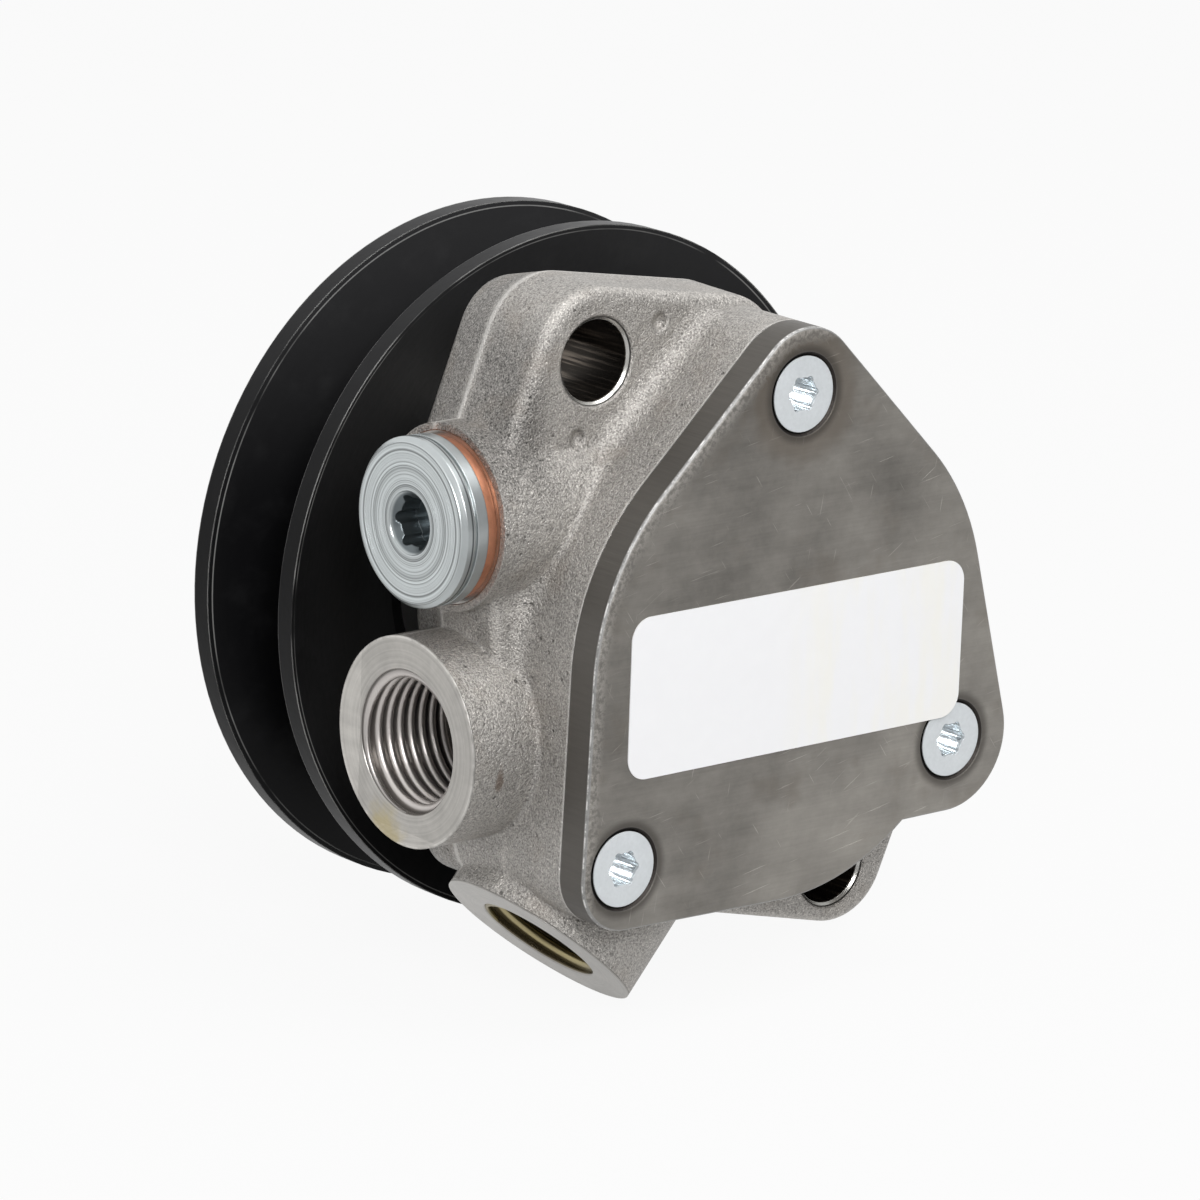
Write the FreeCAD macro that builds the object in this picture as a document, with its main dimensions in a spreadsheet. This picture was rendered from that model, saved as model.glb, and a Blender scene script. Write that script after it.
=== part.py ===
import FreeCAD, Part
import math
import os
import Sketcher

# Belt driven fuel feed pump: an internal gear pump in a cast housing, with a
# two part V-belt pulley, a relief valve in its side and two threaded ports.
#
# Frame: Y is the shaft axis, +Y towards the pulley, +Z up. The origin lies on
# the shaft axis in the plane of the two machined lug faces that meet the
# engine. Depths in the sheet are measured from that plane towards the cover.

DOC = FreeCAD.newDocument("FuelFeedPump")
V = FreeCAD.Vector
TO_COVER = FreeCAD.Rotation(V(1, 0, 0), 90)
TO_PULLEY = FreeCAD.Rotation(V(1, 0, 0), -90)
TO_LEFT = FreeCAD.Rotation(V(0, 1, 0), -90)

DIMENSIONS = (
    ("body_radius", 28.4, "disc of the cover and of the casting behind it"),
    ("body_left", 0.1, "middle of that disc from the shaft axis"),
    ("body_drop", 0.8, ""),
    ("top_lobe", 7.4, "round lobes of the cover about its screws"),
    ("low_lobe", 6.3, ""),
    ("side_lobe", 8.4, ""),
    ("top_lobe_right", 0.4, "middle of the top lobe beside its screw"),
    ("low_lobe_right", 0.6, "middle of the low lobe beside its screw"),
    ("low_lobe_drop", 0.8, ""),
    ("screw_circle", 28.4, "top and side cover screws from the shaft axis"),
    ("low_screw_circle", 31.85, "low cover screw from the shaft axis"),
    ("top_screw_angle", 90.2, "cover screws, from +X towards +Z"),
    ("low_screw_angle", 222.6, ""),
    ("side_screw_angle", -30.9, ""),
    ("joint_depth", 24.7, "joint between housing and cover"),
    ("web_depth", 15.7, "front of the mounting web"),
    ("parting_depth", 6.4, "parting line of the casting"),
    ("web_radius", 30.0, "disc of the mounting web"),
    ("web_draft", 0.2, "draft of the web in front of the parting line"),
    ("rear_draft", 1.6, "draft of the web behind the parting line"),
    ("lug_circle", 36.9, "mounting holes from the shaft axis"),
    ("lug_angle", 120.6, ""),
    ("lug_radius", 8.3, "boss about each mounting hole"),
    ("lug_hole", 4.5, "radius of the mounting holes"),
    ("lug_chamfer", 0.7, ""),
    ("far_lug_radius", 7.8, "foot of the lower lug, beside its hole"),
    ("far_lug_right", 1.2, ""),
    ("far_lug_rise", 0.5, ""),
    ("web_top_lobe", 8.6, "lobes of the mounting web behind the cover screws"),
    ("web_side_lobe", 10.4, ""),
    ("shoulder_lobe", 9.0, "round shoulder of the web beside the relief valve"),
    ("shoulder_step", 0.35, "shoulder behind the spot face of the plug"),
    ("shoulder_rise", 1.3, "shoulder above the axis of the relief valve"),
    ("neck_start", 1.0, "rear of the front body, just short of the lug plane"),
    ("foot_blend", 2.2, "blend of the front body into the web"),
    ("edge_fillet", 1.5, "cast front edge of the web"),
    ("dimple_radius", 1.2, "two ball marks cast into the web beside the upper lug"),
    ("dimple_depth", 0.5, ""),
    ("near_dimple_circle", 9.4, "ball marks from the lug's own axis"),
    ("low_dimple_circle", 8.6, ""),
    ("near_dimple_angle", 21.0, ""),
    ("low_dimple_angle", 254.0, ""),
    ("cover_thickness", 4.0, "ground steel cover"),
    ("cover_edge", 0.5, "rolled front edge of the cover"),
    ("sink_radius", 4.8, "countersink at the cover's face"),
    ("head_radius", 4.25, "countersunk head"),
    ("head_sink", 0.15, "screw head below the cover's face"),
    ("head_land", 0.15, "straight rim of the head"),
    ("screw_radius", 2.45, "shank of the cover screws"),
    ("screw_length", 16.0, ""),
    ("screw_hole", 2.5, "radius of the tapped holes for the cover screws"),
    ("screw_hole_depth", 15.0, ""),
    ("lobe_drive", 2.15, "six lobe recess of the cover screws"),
    ("lobe_drive_depth", 2.2, ""),
    ("lobe_core_share", 0.86, "core of a six lobe recess, as a share of its radius"),
    ("lobe_tip_share", 0.24, "round lobes of the recess"),
    ("lobe_reach_share", 0.76, "middles of those lobes"),
    ("eccentricity", 1.8, "outer rotor axis from the shaft axis"),
    ("eccentric_angle", 60.0, ""),
    ("rotor_depth", 10.0, "depth of the rotor pocket"),
    ("end_clearance", 0.03, "each side of the rotors"),
    ("running_clearance", 0.05, "radial clearance of turning pieces"),
    ("outer_rotor_radius", 19.0, ""),
    ("outer_lobes", 7, "teeth of the outer rotor, the inner one has one less"),
    ("lobe_circle", 17.6, "centres of the outer rotor's round teeth"),
    ("tooth_radius", 5.2, "round teeth of the outer rotor"),
    ("kidney_inner", 11.2, "inlet and outlet kidneys in the pocket floor"),
    ("kidney_outer", 15.8, ""),
    ("kidney_half_angle", 73.0, ""),
    ("kidney_depth", 2.5, ""),
    ("seal_gap", 1.9, "wall between rotor pocket and cover seal groove"),
    ("cord_radius", 0.9, "section of the cover seal"),
    ("cord_room", 2.6, "width of the groove in radii of the cord"),
    ("cord_gap", 0.03, "cord off its groove"),
    ("groove_depth", 1.75, "groove of the cover seal"),
    ("shaft_radius", 6.0, ""),
    ("shaft_end", 25.4, "pulley end of the shaft"),
    ("shaft_chamfer", 0.8, ""),
    ("centre_tip", 0.01, "tip of the centre hole"),
    ("shoulder_radius", 7.2, "shoulder that stops the bearing"),
    ("shoulder_width", 1.5, ""),
    ("key_width", 3.0, ""),
    ("key_height", 2.8, ""),
    ("key_length", 8.5, ""),
    ("bush_radius", 8.0, "outside of the plain bush"),
    ("bush_gap", 0.5, "bush below the floor of the rotor pocket"),
    ("seal_radius", 11.0, "outside of the shaft seal"),
    ("seal_width", 5.0, ""),
    ("seal_depth", 0.4, "front of the shaft seal from the lug plane"),
    ("seal_sheet", 0.8, "wall of the seal's case"),
    ("case_throat", 2.6, "opening of the case from the shaft"),
    ("lip_body", 1.9, "body of the lip from the shaft"),
    ("lip_bevel", 1.5, ""),
    ("lip_edge", 0.04, "running edge of the lip"),
    ("lip_edge_height", 1.4, "running edge behind the seal's front"),
    ("lip_front", 0.9, ""),
    ("lip_drop", 0.3, "lip behind the seal's front"),
    ("lip_fill", 2.9, ""),
    ("lip_fill_width", 0.5, ""),
    ("garter_circle", 2.35, "garter spring from the shaft"),
    ("garter_wire", 0.44, ""),
    ("garter_drop", 1.0, ""),
    ("bearing_radius", 14.0, "outside of the ball bearing"),
    ("bearing_width", 8.0, ""),
    ("bearing_seat", 1.8, "seat of the ball bearing behind the lug plane"),
    ("pitch_radius", 10.0, "circle of the balls"),
    ("ball_radius", 2.35, ""),
    ("ball_count", 8, ""),
    ("race_height", 1.35, "shoulder of the races beside the balls"),
    ("cage_half", 0.8, "half the thickness of the cage"),
    ("cage_rim", 0.5, "cage beyond the balls"),
    ("cage_pocket", 4.0, "length of the tool that cuts its pockets"),
    ("circlip_width", 1.2, ""),
    ("circlip_height", 0.8, "circlip beyond the bearing seat"),
    ("circlip_gap", 34.0, "opening of the circlip in degrees"),
    ("circlip_band", 1.6, "width of the circlip inside the bore"),
    ("eye_radius", 1.6, "eyes for the pliers"),
    ("eye_hole", 0.7, ""),
    ("eye_reach", 2.0, "eyes inside the bore"),
    ("eye_share", 0.68, "eyes from the gap's middle, in gaps"),
    ("nose_radius", 18.5, "bearing nose behind the lug plane"),
    ("nose_length", 11.7, ""),
    ("hub_gap", 0.6, "running gap between nose and hub"),
    ("hub_radius", 19.5, "flange of the pulley hub"),
    ("hub_collar", 8.4, "collar of the hub against the inner race"),
    ("hub_spigot", 8.8, "spigot that centres the pulley halves"),
    ("spigot_length", 6.8, "spigot beyond the hub flange"),
    ("pulley_radius", 40.0, ""),
    ("pulley_start", 9.8, "near rim from the lug plane"),
    ("pulley_foot", 21.12, "foot of the belt groove, where the halves part"),
    ("groove_angle", 38.0, ""),
    ("sheet", 2.3, "pressed sheet of the pulley halves"),
    ("pulley_screw_circle", 14.6, ""),
    ("pulley_screw_count", 4, ""),
    ("pulley_screw_radius", 3.0, ""),
    ("pulley_hole_gap", 0.3, "screws in the holes of the halves"),
    ("hub_hole_gap", 0.02, "screws in the holes of the hub"),
    ("washer_gap", 0.2, "screws in their washers"),
    ("pulley_head_size", 5.6, "corner radius of the hexagon head"),
    ("pulley_head_height", 4.0, ""),
    ("washer_radius", 5.4, ""),
    ("washer_thickness", 1.4, ""),
    ("port_face", 37.8, "face of the inlet boss from the shaft axis"),
    ("port_height", -9.9, "axis of the inlet"),
    ("port_depth", 8.2, "axis of the inlet from the lug plane"),
    ("port_boss", 11.8, ""),
    ("port_thread", 8.0, "M16 thread, major radius"),
    ("port_thread_depth", 13.0, ""),
    ("port_chamfer", 0.2, "lead-in of the inlet thread"),
    ("port_drill", 5.0, "passage behind the inlet thread"),
    ("port_reach", 14.0, "end of the inlet passage from the shaft axis"),
    ("inlet_rise", 4.2, "radius of the passage from the inlet to its kidney"),
    ("inlet_rise_start", 15.0, "middle of that passage from the shaft axis"),
    ("inlet_rise_length", 4.0, "below the kidney"),
    ("inlet_rise_overlap", 1.0, "beyond the floor of the kidney"),
    ("outlet_angle", 49.0, "outlet axis below -X"),
    ("outlet_face", 40.1, "face of the outlet boss along its axis"),
    ("outlet_offset", 6.05, "outlet axis beside the shaft axis"),
    ("outlet_step", 0.5, "outlet boss behind the cover joint"),
    ("outlet_boss", 11.7, ""),
    ("outlet_thread", 7.0, "M14 thread, major radius"),
    ("outlet_thread_depth", 12.0, ""),
    ("outlet_chamfer", 0.2, ""),
    ("outlet_drill", 3.4, ""),
    ("outlet_reach", 12.5, "end of the outlet passage along its axis"),
    ("valve_height", 14.9, "axis of the relief valve"),
    ("valve_floor", 6.1, "axis of the relief valve behind the floor of the rotor pocket"),
    ("valve_boss", 10.4, ""),
    ("valve_seat_face", 33.6, "spot face of the plug from the shaft axis"),
    ("valve_thread", 7.0, "M14 thread, major radius"),
    ("valve_thread_depth", 10.6, ""),
    ("valve_bore", 5.25, "bore of the relief piston"),
    ("valve_seat", 12.0, "seat of the piston from the shaft axis"),
    ("valve_drill", 2.5, "pressure passage to the piston"),
    ("valve_reach", 12.0, "far end of the pressure passage"),
    ("relief_drill", 2.2, "passage back to the inlet kidney"),
    ("relief_drill_step", 1.0, "passage beyond the piston's seat"),
    ("plug_collar", 9.4, "collar of the plug"),
    ("plug_collar_width", 3.4, ""),
    ("plug_chamfer", 0.6, ""),
    ("plug_groove", 0.35, "turned groove round the collar"),
    ("plug_groove_place", 1.43, "groove in front of the washer"),
    ("plug_shank", 10.2, "threaded length of the plug"),
    ("plug_bore", 4.4, "spring bore of the plug"),
    ("plug_bore_depth", 7.4, ""),
    ("plug_drive", 3.1, "six lobe recess of the plug"),
    ("plug_drive_depth", 3.4, ""),
    ("plug_drive_chamfer", 0.5, ""),
    ("washer_outer", 9.0, "copper washer"),
    ("washer_inner", 7.1, ""),
    ("copper_thickness", 1.5, ""),
    ("piston_length", 7.4, ""),
    ("piston_wall", 1.2, ""),
    ("piston_floor", 2.4, ""),
    ("piston_nose", 1.2, "chamfered nose of the piston"),
    ("piston_clearance", 0.04, ""),
    ("spring_radius", 3.3, "mean radius of the relief spring"),
    ("spring_wire", 0.45, ""),
    ("spring_turns", 6.5, ""),
    ("spring_gap", 0.05, "spring off the floors at its ends"),
    ("label_width", 48.6, "blank adhesive label"),
    ("label_height", 18.2, ""),
    ("label_corner", 2.6, ""),
    ("label_thickness", 0.12, ""),
    ("label_x", 0.7, ""),
    ("label_z", -2.6, ""),
)

SHEET = DOC.addObject("Spreadsheet::Sheet", "Dims")
for row, (alias, value, note) in enumerate(DIMENSIONS, 1):
    SHEET.set("A%d" % row, alias)
    SHEET.set("B%d" % row, str(value))
    SHEET.set("C%d" % row, note)
    SHEET.setAlias("B%d" % row, alias)
DOC.recompute()

ALIASES = sorted((name for name, _, _ in DIMENSIONS), key=len, reverse=True)


def on_sheet(text):
    """the expression with each alias written as a cell of the sheet"""
    out = ""
    word = ""
    for char in text + " ":
        if char.isalnum() or char == "_":
            word += char
            continue
        out += ("Dims." + word if word in ALIASES else word) + char
        word = ""
    return out.strip()


def size(text):
    """number that an expression of aliases gives"""
    value = SHEET.evalExpression(on_sheet(text))
    return float(getattr(value, "Value", value))


def bind(item, **expressions):
    """bind properties to the sheet; a double underscore stands for a dot"""
    for name, text in expressions.items():
        item.setExpression(name.replace("__", "."), on_sheet(text))
    return item


def place(item, x="0", y="0", z="0", rotation=None):
    """bind the place of an object, with a fixed rotation"""
    if rotation is not None:
        item.Placement = FreeCAD.Placement(V(0, 0, 0), rotation)
    return bind(item, Placement__Base__x=x, Placement__Base__y=y, Placement__Base__z=z)


def cylinder(name, radius, height, x="0", y="0", z="0", rotation=None):
    item = DOC.addObject("Part::Cylinder", name)
    bind(item, Radius=radius, Height=height)
    return place(item, x, y, z, rotation)


def cone(name, radius_1, radius_2, height, x="0", y="0", z="0", rotation=None):
    item = DOC.addObject("Part::Cone", name)
    bind(item, Radius1=radius_1, Radius2=radius_2, Height=height)
    return place(item, x, y, z, rotation)


def fuse(name, *items):
    item = DOC.addObject("Part::MultiFuse", name)
    item.Shapes = list(items)
    return item


def cut(name, base, *tools):
    item = DOC.addObject("Part::Cut", name)
    item.Base = base
    item.Tool = tools[0] if len(tools) == 1 else fuse(name + "_tools", *tools)
    return item


def group(name, items):
    item = DOC.addObject("Part::Compound", name)
    item.Links = items
    return item


def ring(name, outer, inner, height, y, rotation=TO_COVER, x="0", z="0"):
    """plain ring, grown from its place along the rotation's axis"""
    whole = cylinder(name + "_outside", outer, height, x, y, z, rotation)
    hole = cylinder(name + "_inside", inner, height, x, y, z, rotation)
    return cut(name, whole, hole)


# Sketches on planes across the shaft: sketch x is X, sketch y is Z, and the
# sketch's own normal points to the cover.


def plane_of(body, role):
    return next(f for f in body.Origin.OriginFeatures if f.Role == role)


def face_sketch(body, name, depth):
    """sketch across the shaft at a depth from the lug plane"""
    sketch = body.newObject("Sketcher::SketchObject", name)
    sketch.AttachmentSupport = (plane_of(body, "XZ_Plane"), [""])
    sketch.MapMode = "FlatFace"
    bind(sketch, AttachmentOffset__Base__z=depth)
    return sketch


def half_sketch(body, name):
    """sketch along the shaft for a turned piece: x outwards, y along the shaft"""
    sketch = body.newObject("Sketcher::SketchObject", name)
    sketch.AttachmentSupport = (plane_of(body, "XY_Plane"), [""])
    sketch.MapMode = "FlatFace"
    return sketch


def polar(circle, angle):
    """expressions of a point given by its circle and angle"""
    return "%s * cos(%s * 1deg)" % (circle, angle), "%s * sin(%s * 1deg)" % (circle, angle)


def name_last(sketch, name, text):
    """name the newest constraint and bind it"""
    index = sketch.ConstraintCount - 1
    sketch.renameConstraint(index, name)
    sketch.setExpression("Constraints." + name, on_sheet(text))


def tangent_line(start, end):
    """line that touches two circles on their right, going from start to end"""
    (x1, y1, r1), (x2, y2, r2) = start, end
    length = math.hypot(x2 - x1, y2 - y1)
    dx, dy = (x2 - x1) / length, (y2 - y1) / length
    lean = (r1 - r2) / length
    side = math.sqrt(1 - lean * lean)
    nx, ny = dx * lean + dy * side, dy * lean - dx * side
    return V(x1 + r1 * nx, y1 + r1 * ny, 0), V(x2 + r2 * nx, y2 + r2 * ny, 0)


def round_outline(sketch, circles, level_to=None):
    """closed outline of arcs joined by tangent lines, against the clock

    Each circle is (x, y, radius) in expressions. The line that leads to the
    circle at level_to is level and leaves the arc before it at a sharp corner.
    """
    sizes = [tuple(size(text) for text in circle) for circle in circles]
    count = len(circles)
    lines = [tangent_line(sizes[i], sizes[(i + 1) % count]) for i in range(count)]
    corner = None
    if level_to is not None:
        corner = [circle[:2] for circle in circles].index(level_to) - 1
        x, y, radius = sizes[corner]
        nx, ny, nr = sizes[corner + 1]
        level = ny - nr
        reach = math.sqrt(radius ** 2 - (level - y) ** 2)
        lines[corner] = (V(x + reach, level, 0), V(nx, level, 0))
    for i, (x, y, radius) in enumerate(sizes):
        first = lines[i - 1][1]
        last = lines[i][0]
        start = math.atan2(first.y - y, first.x - x)
        end = math.atan2(last.y - y, last.x - x)
        circle = Part.Circle(V(x, y, 0), V(0, 0, 1), radius)
        sketch.addGeometry(Part.ArcOfCircle(circle, start, end), False)
    for start, end in lines:
        sketch.addGeometry(Part.LineSegment(start, end), False)
    for i in range(count):
        x, y, radius = circles[i]
        if (x, y) == ("0", "0"):
            sketch.addConstraint(Sketcher.Constraint("Coincident", i, 3, -1, 1))
        else:
            sketch.addConstraint(Sketcher.Constraint("DistanceX", -1, 1, i, 3, sizes[i][0]))
            name_last(sketch, "x%d" % i, x)
            sketch.addConstraint(Sketcher.Constraint("DistanceY", -1, 1, i, 3, sizes[i][1]))
            name_last(sketch, "y%d" % i, y)
        sketch.addConstraint(Sketcher.Constraint("Radius", i, sizes[i][2]))
        name_last(sketch, "r%d" % i, radius)
    for i in range(count):
        line = count + i
        if i == corner:
            sketch.addConstraint(Sketcher.Constraint("Coincident", line, 1, i, 2))
            sketch.addConstraint(Sketcher.Constraint("Horizontal", line))
        else:
            sketch.addConstraint(Sketcher.Constraint("Tangent", line, 1, i, 2))
        sketch.addConstraint(Sketcher.Constraint("Tangent", line, 2, (i + 1) % count, 1))
    return sketch


def circle_sketch(sketch, radius, x="0", y="0"):
    """one circle, bound to the sheet"""
    spot = V(size(x), size(y), 0)
    sketch.addGeometry(Part.Circle(spot, V(0, 0, 1), size(radius)), False)
    sketch.addConstraint(Sketcher.Constraint("Radius", 0, size(radius)))
    name_last(sketch, "radius", radius)
    sketch.addConstraint(Sketcher.Constraint("DistanceX", -1, 1, 0, 3, spot.x))
    name_last(sketch, "across", x)
    sketch.addConstraint(Sketcher.Constraint("DistanceY", -1, 1, 0, 3, spot.y))
    name_last(sketch, "up", y)
    return sketch


def profile(sketch, points):
    """closed profile of straight lines; each corner is (radius, y) in expressions"""
    spots = [V(size(r), size(y), 0) for r, y in points]
    count = len(spots)
    for i in range(count):
        sketch.addGeometry(Part.LineSegment(spots[i], spots[(i + 1) % count]), False)
    for i in range(count):
        sketch.addConstraint(Sketcher.Constraint("Coincident", i, 2, (i + 1) % count, 1))
    for i, (radius, y) in enumerate(points):
        sketch.addConstraint(Sketcher.Constraint("DistanceX", -1, 1, i, 1, spots[i].x))
        name_last(sketch, "r%d" % i, radius)
        sketch.addConstraint(Sketcher.Constraint("DistanceY", -1, 1, i, 1, spots[i].y))
        name_last(sketch, "y%d" % i, y)
    return sketch


def turned(name, points):
    """body turned about the shaft axis from a straight-sided half profile"""
    body = DOC.addObject("PartDesign::Body", name)
    sketch = profile(half_sketch(body, name + "_profile"), points)
    spin = body.newObject("PartDesign::Revolution", name + "_turn")
    spin.Profile = sketch
    spin.ReferenceAxis = (sketch, ["V_Axis"])
    spin.Angle = 360
    return body


def pad(body, name, sketch, length):
    item = body.newObject("PartDesign::Pad", name)
    item.Profile = sketch
    return bind(item, Length=length)


def loft(body, name, first, *others):
    item = body.newObject("PartDesign::AdditiveLoft", name)
    item.Profile = first
    item.Sections = list(others)
    item.Ruled = True
    return item


def fillet(body, name, base, keep, radius):
    """round the edges of a feature that the test keeps"""
    DOC.recompute()
    names = ["Edge%d" % n for n, e in enumerate(base.Shape.Edges, 1) if keep(e)]
    item = body.newObject("PartDesign::Fillet", name)
    item.Base = (base, names)
    return bind(item, Radius=radius)


def flat_at(edge, depth):
    """an edge lies whole in the plane at a depth"""
    box = edge.BoundBox
    level = -size(depth)
    return abs(box.YMin - level) < 0.01 and abs(box.YMax - level) < 0.01


TOP = polar("screw_circle", "top_screw_angle")
LOW = polar("low_screw_circle", "low_screw_angle")
SIDE = polar("screw_circle", "side_screw_angle")
LUG = polar("lug_circle", "lug_angle")
FAR_LUG = ("-" + LUG[0], "-" + LUG[1])
FAR_FOOT = (FAR_LUG[0] + " + far_lug_right", FAR_LUG[1] + " + far_lug_rise")
TOP_LOBE = (TOP[0] + " + top_lobe_right", TOP[1])
LOW_LOBE = (LOW[0] + " + low_lobe_right", LOW[1] + " - low_lobe_drop")
SCREWS = (TOP, LOW, SIDE)
OUTLET_DEPTH = "(joint_depth - outlet_step - outlet_boss)"
VALVE_DEPTH = "(joint_depth - rotor_depth - valve_floor)"
ECCENTRIC = polar("eccentricity", "eccentric_angle")


def cover_circles(change="0"):
    """circles of the cover's outline, each radius changed by the same amount"""
    top, low, side = (name + " + " + change for name in ("top_lobe", "low_lobe", "side_lobe"))
    disc = ("-body_left", "-body_drop", "body_radius + " + change)
    return [TOP_LOBE + (top,), disc, LOW_LOBE + (low,), disc, SIDE + (side,), disc]


def web_circles(change="0"):
    """circles of the mounting web: lugs, screw lobes, valve shoulder and disc"""
    lug = "lug_radius + " + change
    far_lug = "far_lug_radius + " + change
    disc = ("0", "0", "web_radius + " + change)
    shoulder = ("-(valve_seat_face - shoulder_step - shoulder_lobe)",
                "valve_height + shoulder_rise", "shoulder_lobe + " + change)
    low, side, top = (name + " + " + change
                      for name in ("low_lobe", "web_side_lobe", "web_top_lobe"))
    return [LUG + (lug,), shoulder, LOW_LOBE + (low,), FAR_FOOT + (far_lug,),
            SIDE + (side,), disc, TOP + (top,)]


def front_casting():
    """front body with its three bosses"""
    body = DOC.addObject("PartDesign::Body", "front_body")
    neck = face_sketch(body, "neck_outline", "neck_start")
    round_outline(neck, cover_circles("0"), SIDE)
    pad(body, "neck", neck, "joint_depth - neck_start")
    outlet = cylinder("outlet_boss", "outlet_boss", "outlet_face")
    outlet_place(outlet, "0")
    inlet = boss("inlet_boss", "port_boss", "port_face", "port_depth", "port_height")
    valve = boss("valve_boss", "valve_boss", "valve_seat_face", VALVE_DEPTH, "valve_height")
    return fuse("front_casting", body, outlet, inlet, valve)


def boss(name, radius, length, depth, height):
    """round boss that runs out to the left"""
    return cylinder(name, radius, length, "0", "-" + depth, height, TO_LEFT)


def web_casting():
    """mounting web with draft both ways from the parting line, and the bearing nose"""
    body = DOC.addObject("PartDesign::Body", "web_casting")
    rear = face_sketch(body, "rear_outline", "0")
    round_outline(rear, web_circles("-rear_draft"))
    parting = face_sketch(body, "parting_outline", "parting_depth")
    round_outline(parting, web_circles("0"))
    front = face_sketch(body, "front_outline", "web_depth")
    round_outline(front, web_circles("-web_draft"))
    loft(body, "rear_web", rear, parting)
    slab = loft(body, "front_web", parting, front)
    fillet(body, "web_edge", slab, lambda item: flat_at(item, "web_depth"), "edge_fillet")
    nose = circle_sketch(face_sketch(body, "nose_outline", "0"), "nose_radius")
    snout = pad(body, "bearing_nose", nose, "nose_length")
    snout.Reversed = True
    return body


def skirt():
    """hollow blend where the front body stands on the web, within the web's flat"""
    body = DOC.addObject("PartDesign::Body", "skirt_casting")
    steps = 3
    sections = []
    for i in range(steps + 1):
        angle = "%d * 90deg / %d" % (i, steps)
        out = "foot_blend * (1 - sin(%s))" % angle
        rise = "web_depth + foot_blend * (1 - cos(%s))" % angle
        sketch = face_sketch(body, "skirt_outline%d" % i, rise)
        sections.append(round_outline(sketch, cover_circles(out), SIDE))
    loft(body, "skirt_wall", *sections)
    limit = DOC.addObject("PartDesign::Body", "skirt_limit")
    flat = face_sketch(limit, "limit_outline", "web_depth - foot_blend")
    round_outline(flat, web_circles("-web_draft - edge_fillet"))
    pad(limit, "limit_block", flat, "foot_blend * 3")
    both = DOC.addObject("Part::Common", "skirt")
    both.Base = body
    both.Tool = limit
    return both


def casting():
    """raw casting: front body, web and the blend between them"""
    return fuse("casting", front_casting(), web_casting(), skirt())


def outlet_place(item, along):
    """place on the outlet axis, a length from the foot towards its face"""
    across = "outlet_offset * sin(outlet_angle * 1deg) - (%s) * cos(outlet_angle * 1deg)" % along
    up = "-outlet_offset * cos(outlet_angle * 1deg) - (%s) * sin(outlet_angle * 1deg)" % along
    spot = "vector(%s; -%s; %s)" % (across, OUTLET_DEPTH, up)
    turn = "rotation(vector(0; 1; 0); -(90 + outlet_angle))"
    return bind(item, Placement="placement(%s; %s)" % (spot, turn))


def lobed_recess(name, radius, depth, x, y, z, rotation):
    """six lobe tool recess: a round core with six round lobes"""
    core = cylinder(name + "_core", radius + " * lobe_core_share", depth, x, y, z, rotation)
    lobes = []
    for i in range(6):
        lobe = cylinder("%s_lobe%d" % (name, i), radius + " * lobe_tip_share", depth)
        across, up = polar("%s * lobe_reach_share" % radius, "(%d * 360 / 6)" % i)
        if rotation is TO_LEFT:
            place(lobe, x, "%s + %s" % (y, across), "%s + %s" % (z, up), rotation)
        else:
            place(lobe, "%s + %s" % (x, across), y, "%s + %s" % (z, up), rotation)
        lobes.append(lobe)
    return fuse(name, core, *lobes)


def kidney(body, name, middle):
    """curved slot in the floor of the rotor pocket, between two radii"""
    sketch = face_sketch(body, name + "_outline", "joint_depth - rotor_depth")
    inner, outer = size("kidney_inner"), size("kidney_outer")
    first = math.radians(size(middle + " - kidney_half_angle"))
    last = math.radians(size(middle + " + kidney_half_angle"))
    for radius in (inner, outer):
        arc = Part.ArcOfCircle(Part.Circle(V(0, 0, 0), V(0, 0, 1), radius), first, last)
        sketch.addGeometry(arc, False)
    half = (outer - inner) / 2
    centre = (outer + inner) / 2
    for angle, turn in ((first, -math.pi), (last, 0)):
        spot = V(centre * math.cos(angle), centre * math.sin(angle), 0)
        end = Part.Circle(spot, V(0, 0, 1), half)
        sketch.addGeometry(Part.ArcOfCircle(end, angle + turn, angle + turn + math.pi), False)
    add = sketch.addConstraint
    for arc in (0, 1):
        add(Sketcher.Constraint("Coincident", arc, 3, -1, 1))
    add(Sketcher.Constraint("Radius", 0, inner))
    name_last(sketch, "inner", "kidney_inner")
    add(Sketcher.Constraint("Radius", 1, outer))
    name_last(sketch, "outer", "kidney_outer")
    add(Sketcher.Constraint("Tangent", 0, 1, 2, 1))
    add(Sketcher.Constraint("Tangent", 1, 1, 2, 2))
    add(Sketcher.Constraint("Tangent", 0, 2, 3, 2))
    add(Sketcher.Constraint("Tangent", 1, 2, 3, 1))
    for arc, turn in ((2, "-"), (3, "+")):
        angle = "%s %s kidney_half_angle" % (middle, turn)
        across, up = polar("(kidney_inner + kidney_outer) / 2", "(%s)" % angle)
        add(Sketcher.Constraint("DistanceX", -1, 1, arc, 3, size(across)))
        name_last(sketch, "across%d" % arc, across)
    slot = body.newObject("PartDesign::Pad", name)
    slot.Profile = sketch
    slot.Reversed = True
    bind(slot, Length="kidney_depth")
    return body


def drilled(name, radius, start, end, y, z, chamfer=None):
    """hole from the left, between two distances from the shaft axis"""
    hole = cylinder(name, radius, "%s - %s" % (start, end), "-(%s)" % start, y, z,
                    FreeCAD.Rotation(V(0, 1, 0), 90))
    if chamfer is None:
        return [hole]
    wide = "%s + %s" % (radius, chamfer)
    return [hole, cone(name + "_chamfer", wide, radius, chamfer, "-(%s)" % start, y, z,
                       FreeCAD.Rotation(V(0, 1, 0), 90))]


def outlet_hole(name, radius, start, end):
    hole = cylinder(name, radius, "%s - %s" % (start, end))
    return outlet_place(hole, end)


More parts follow.
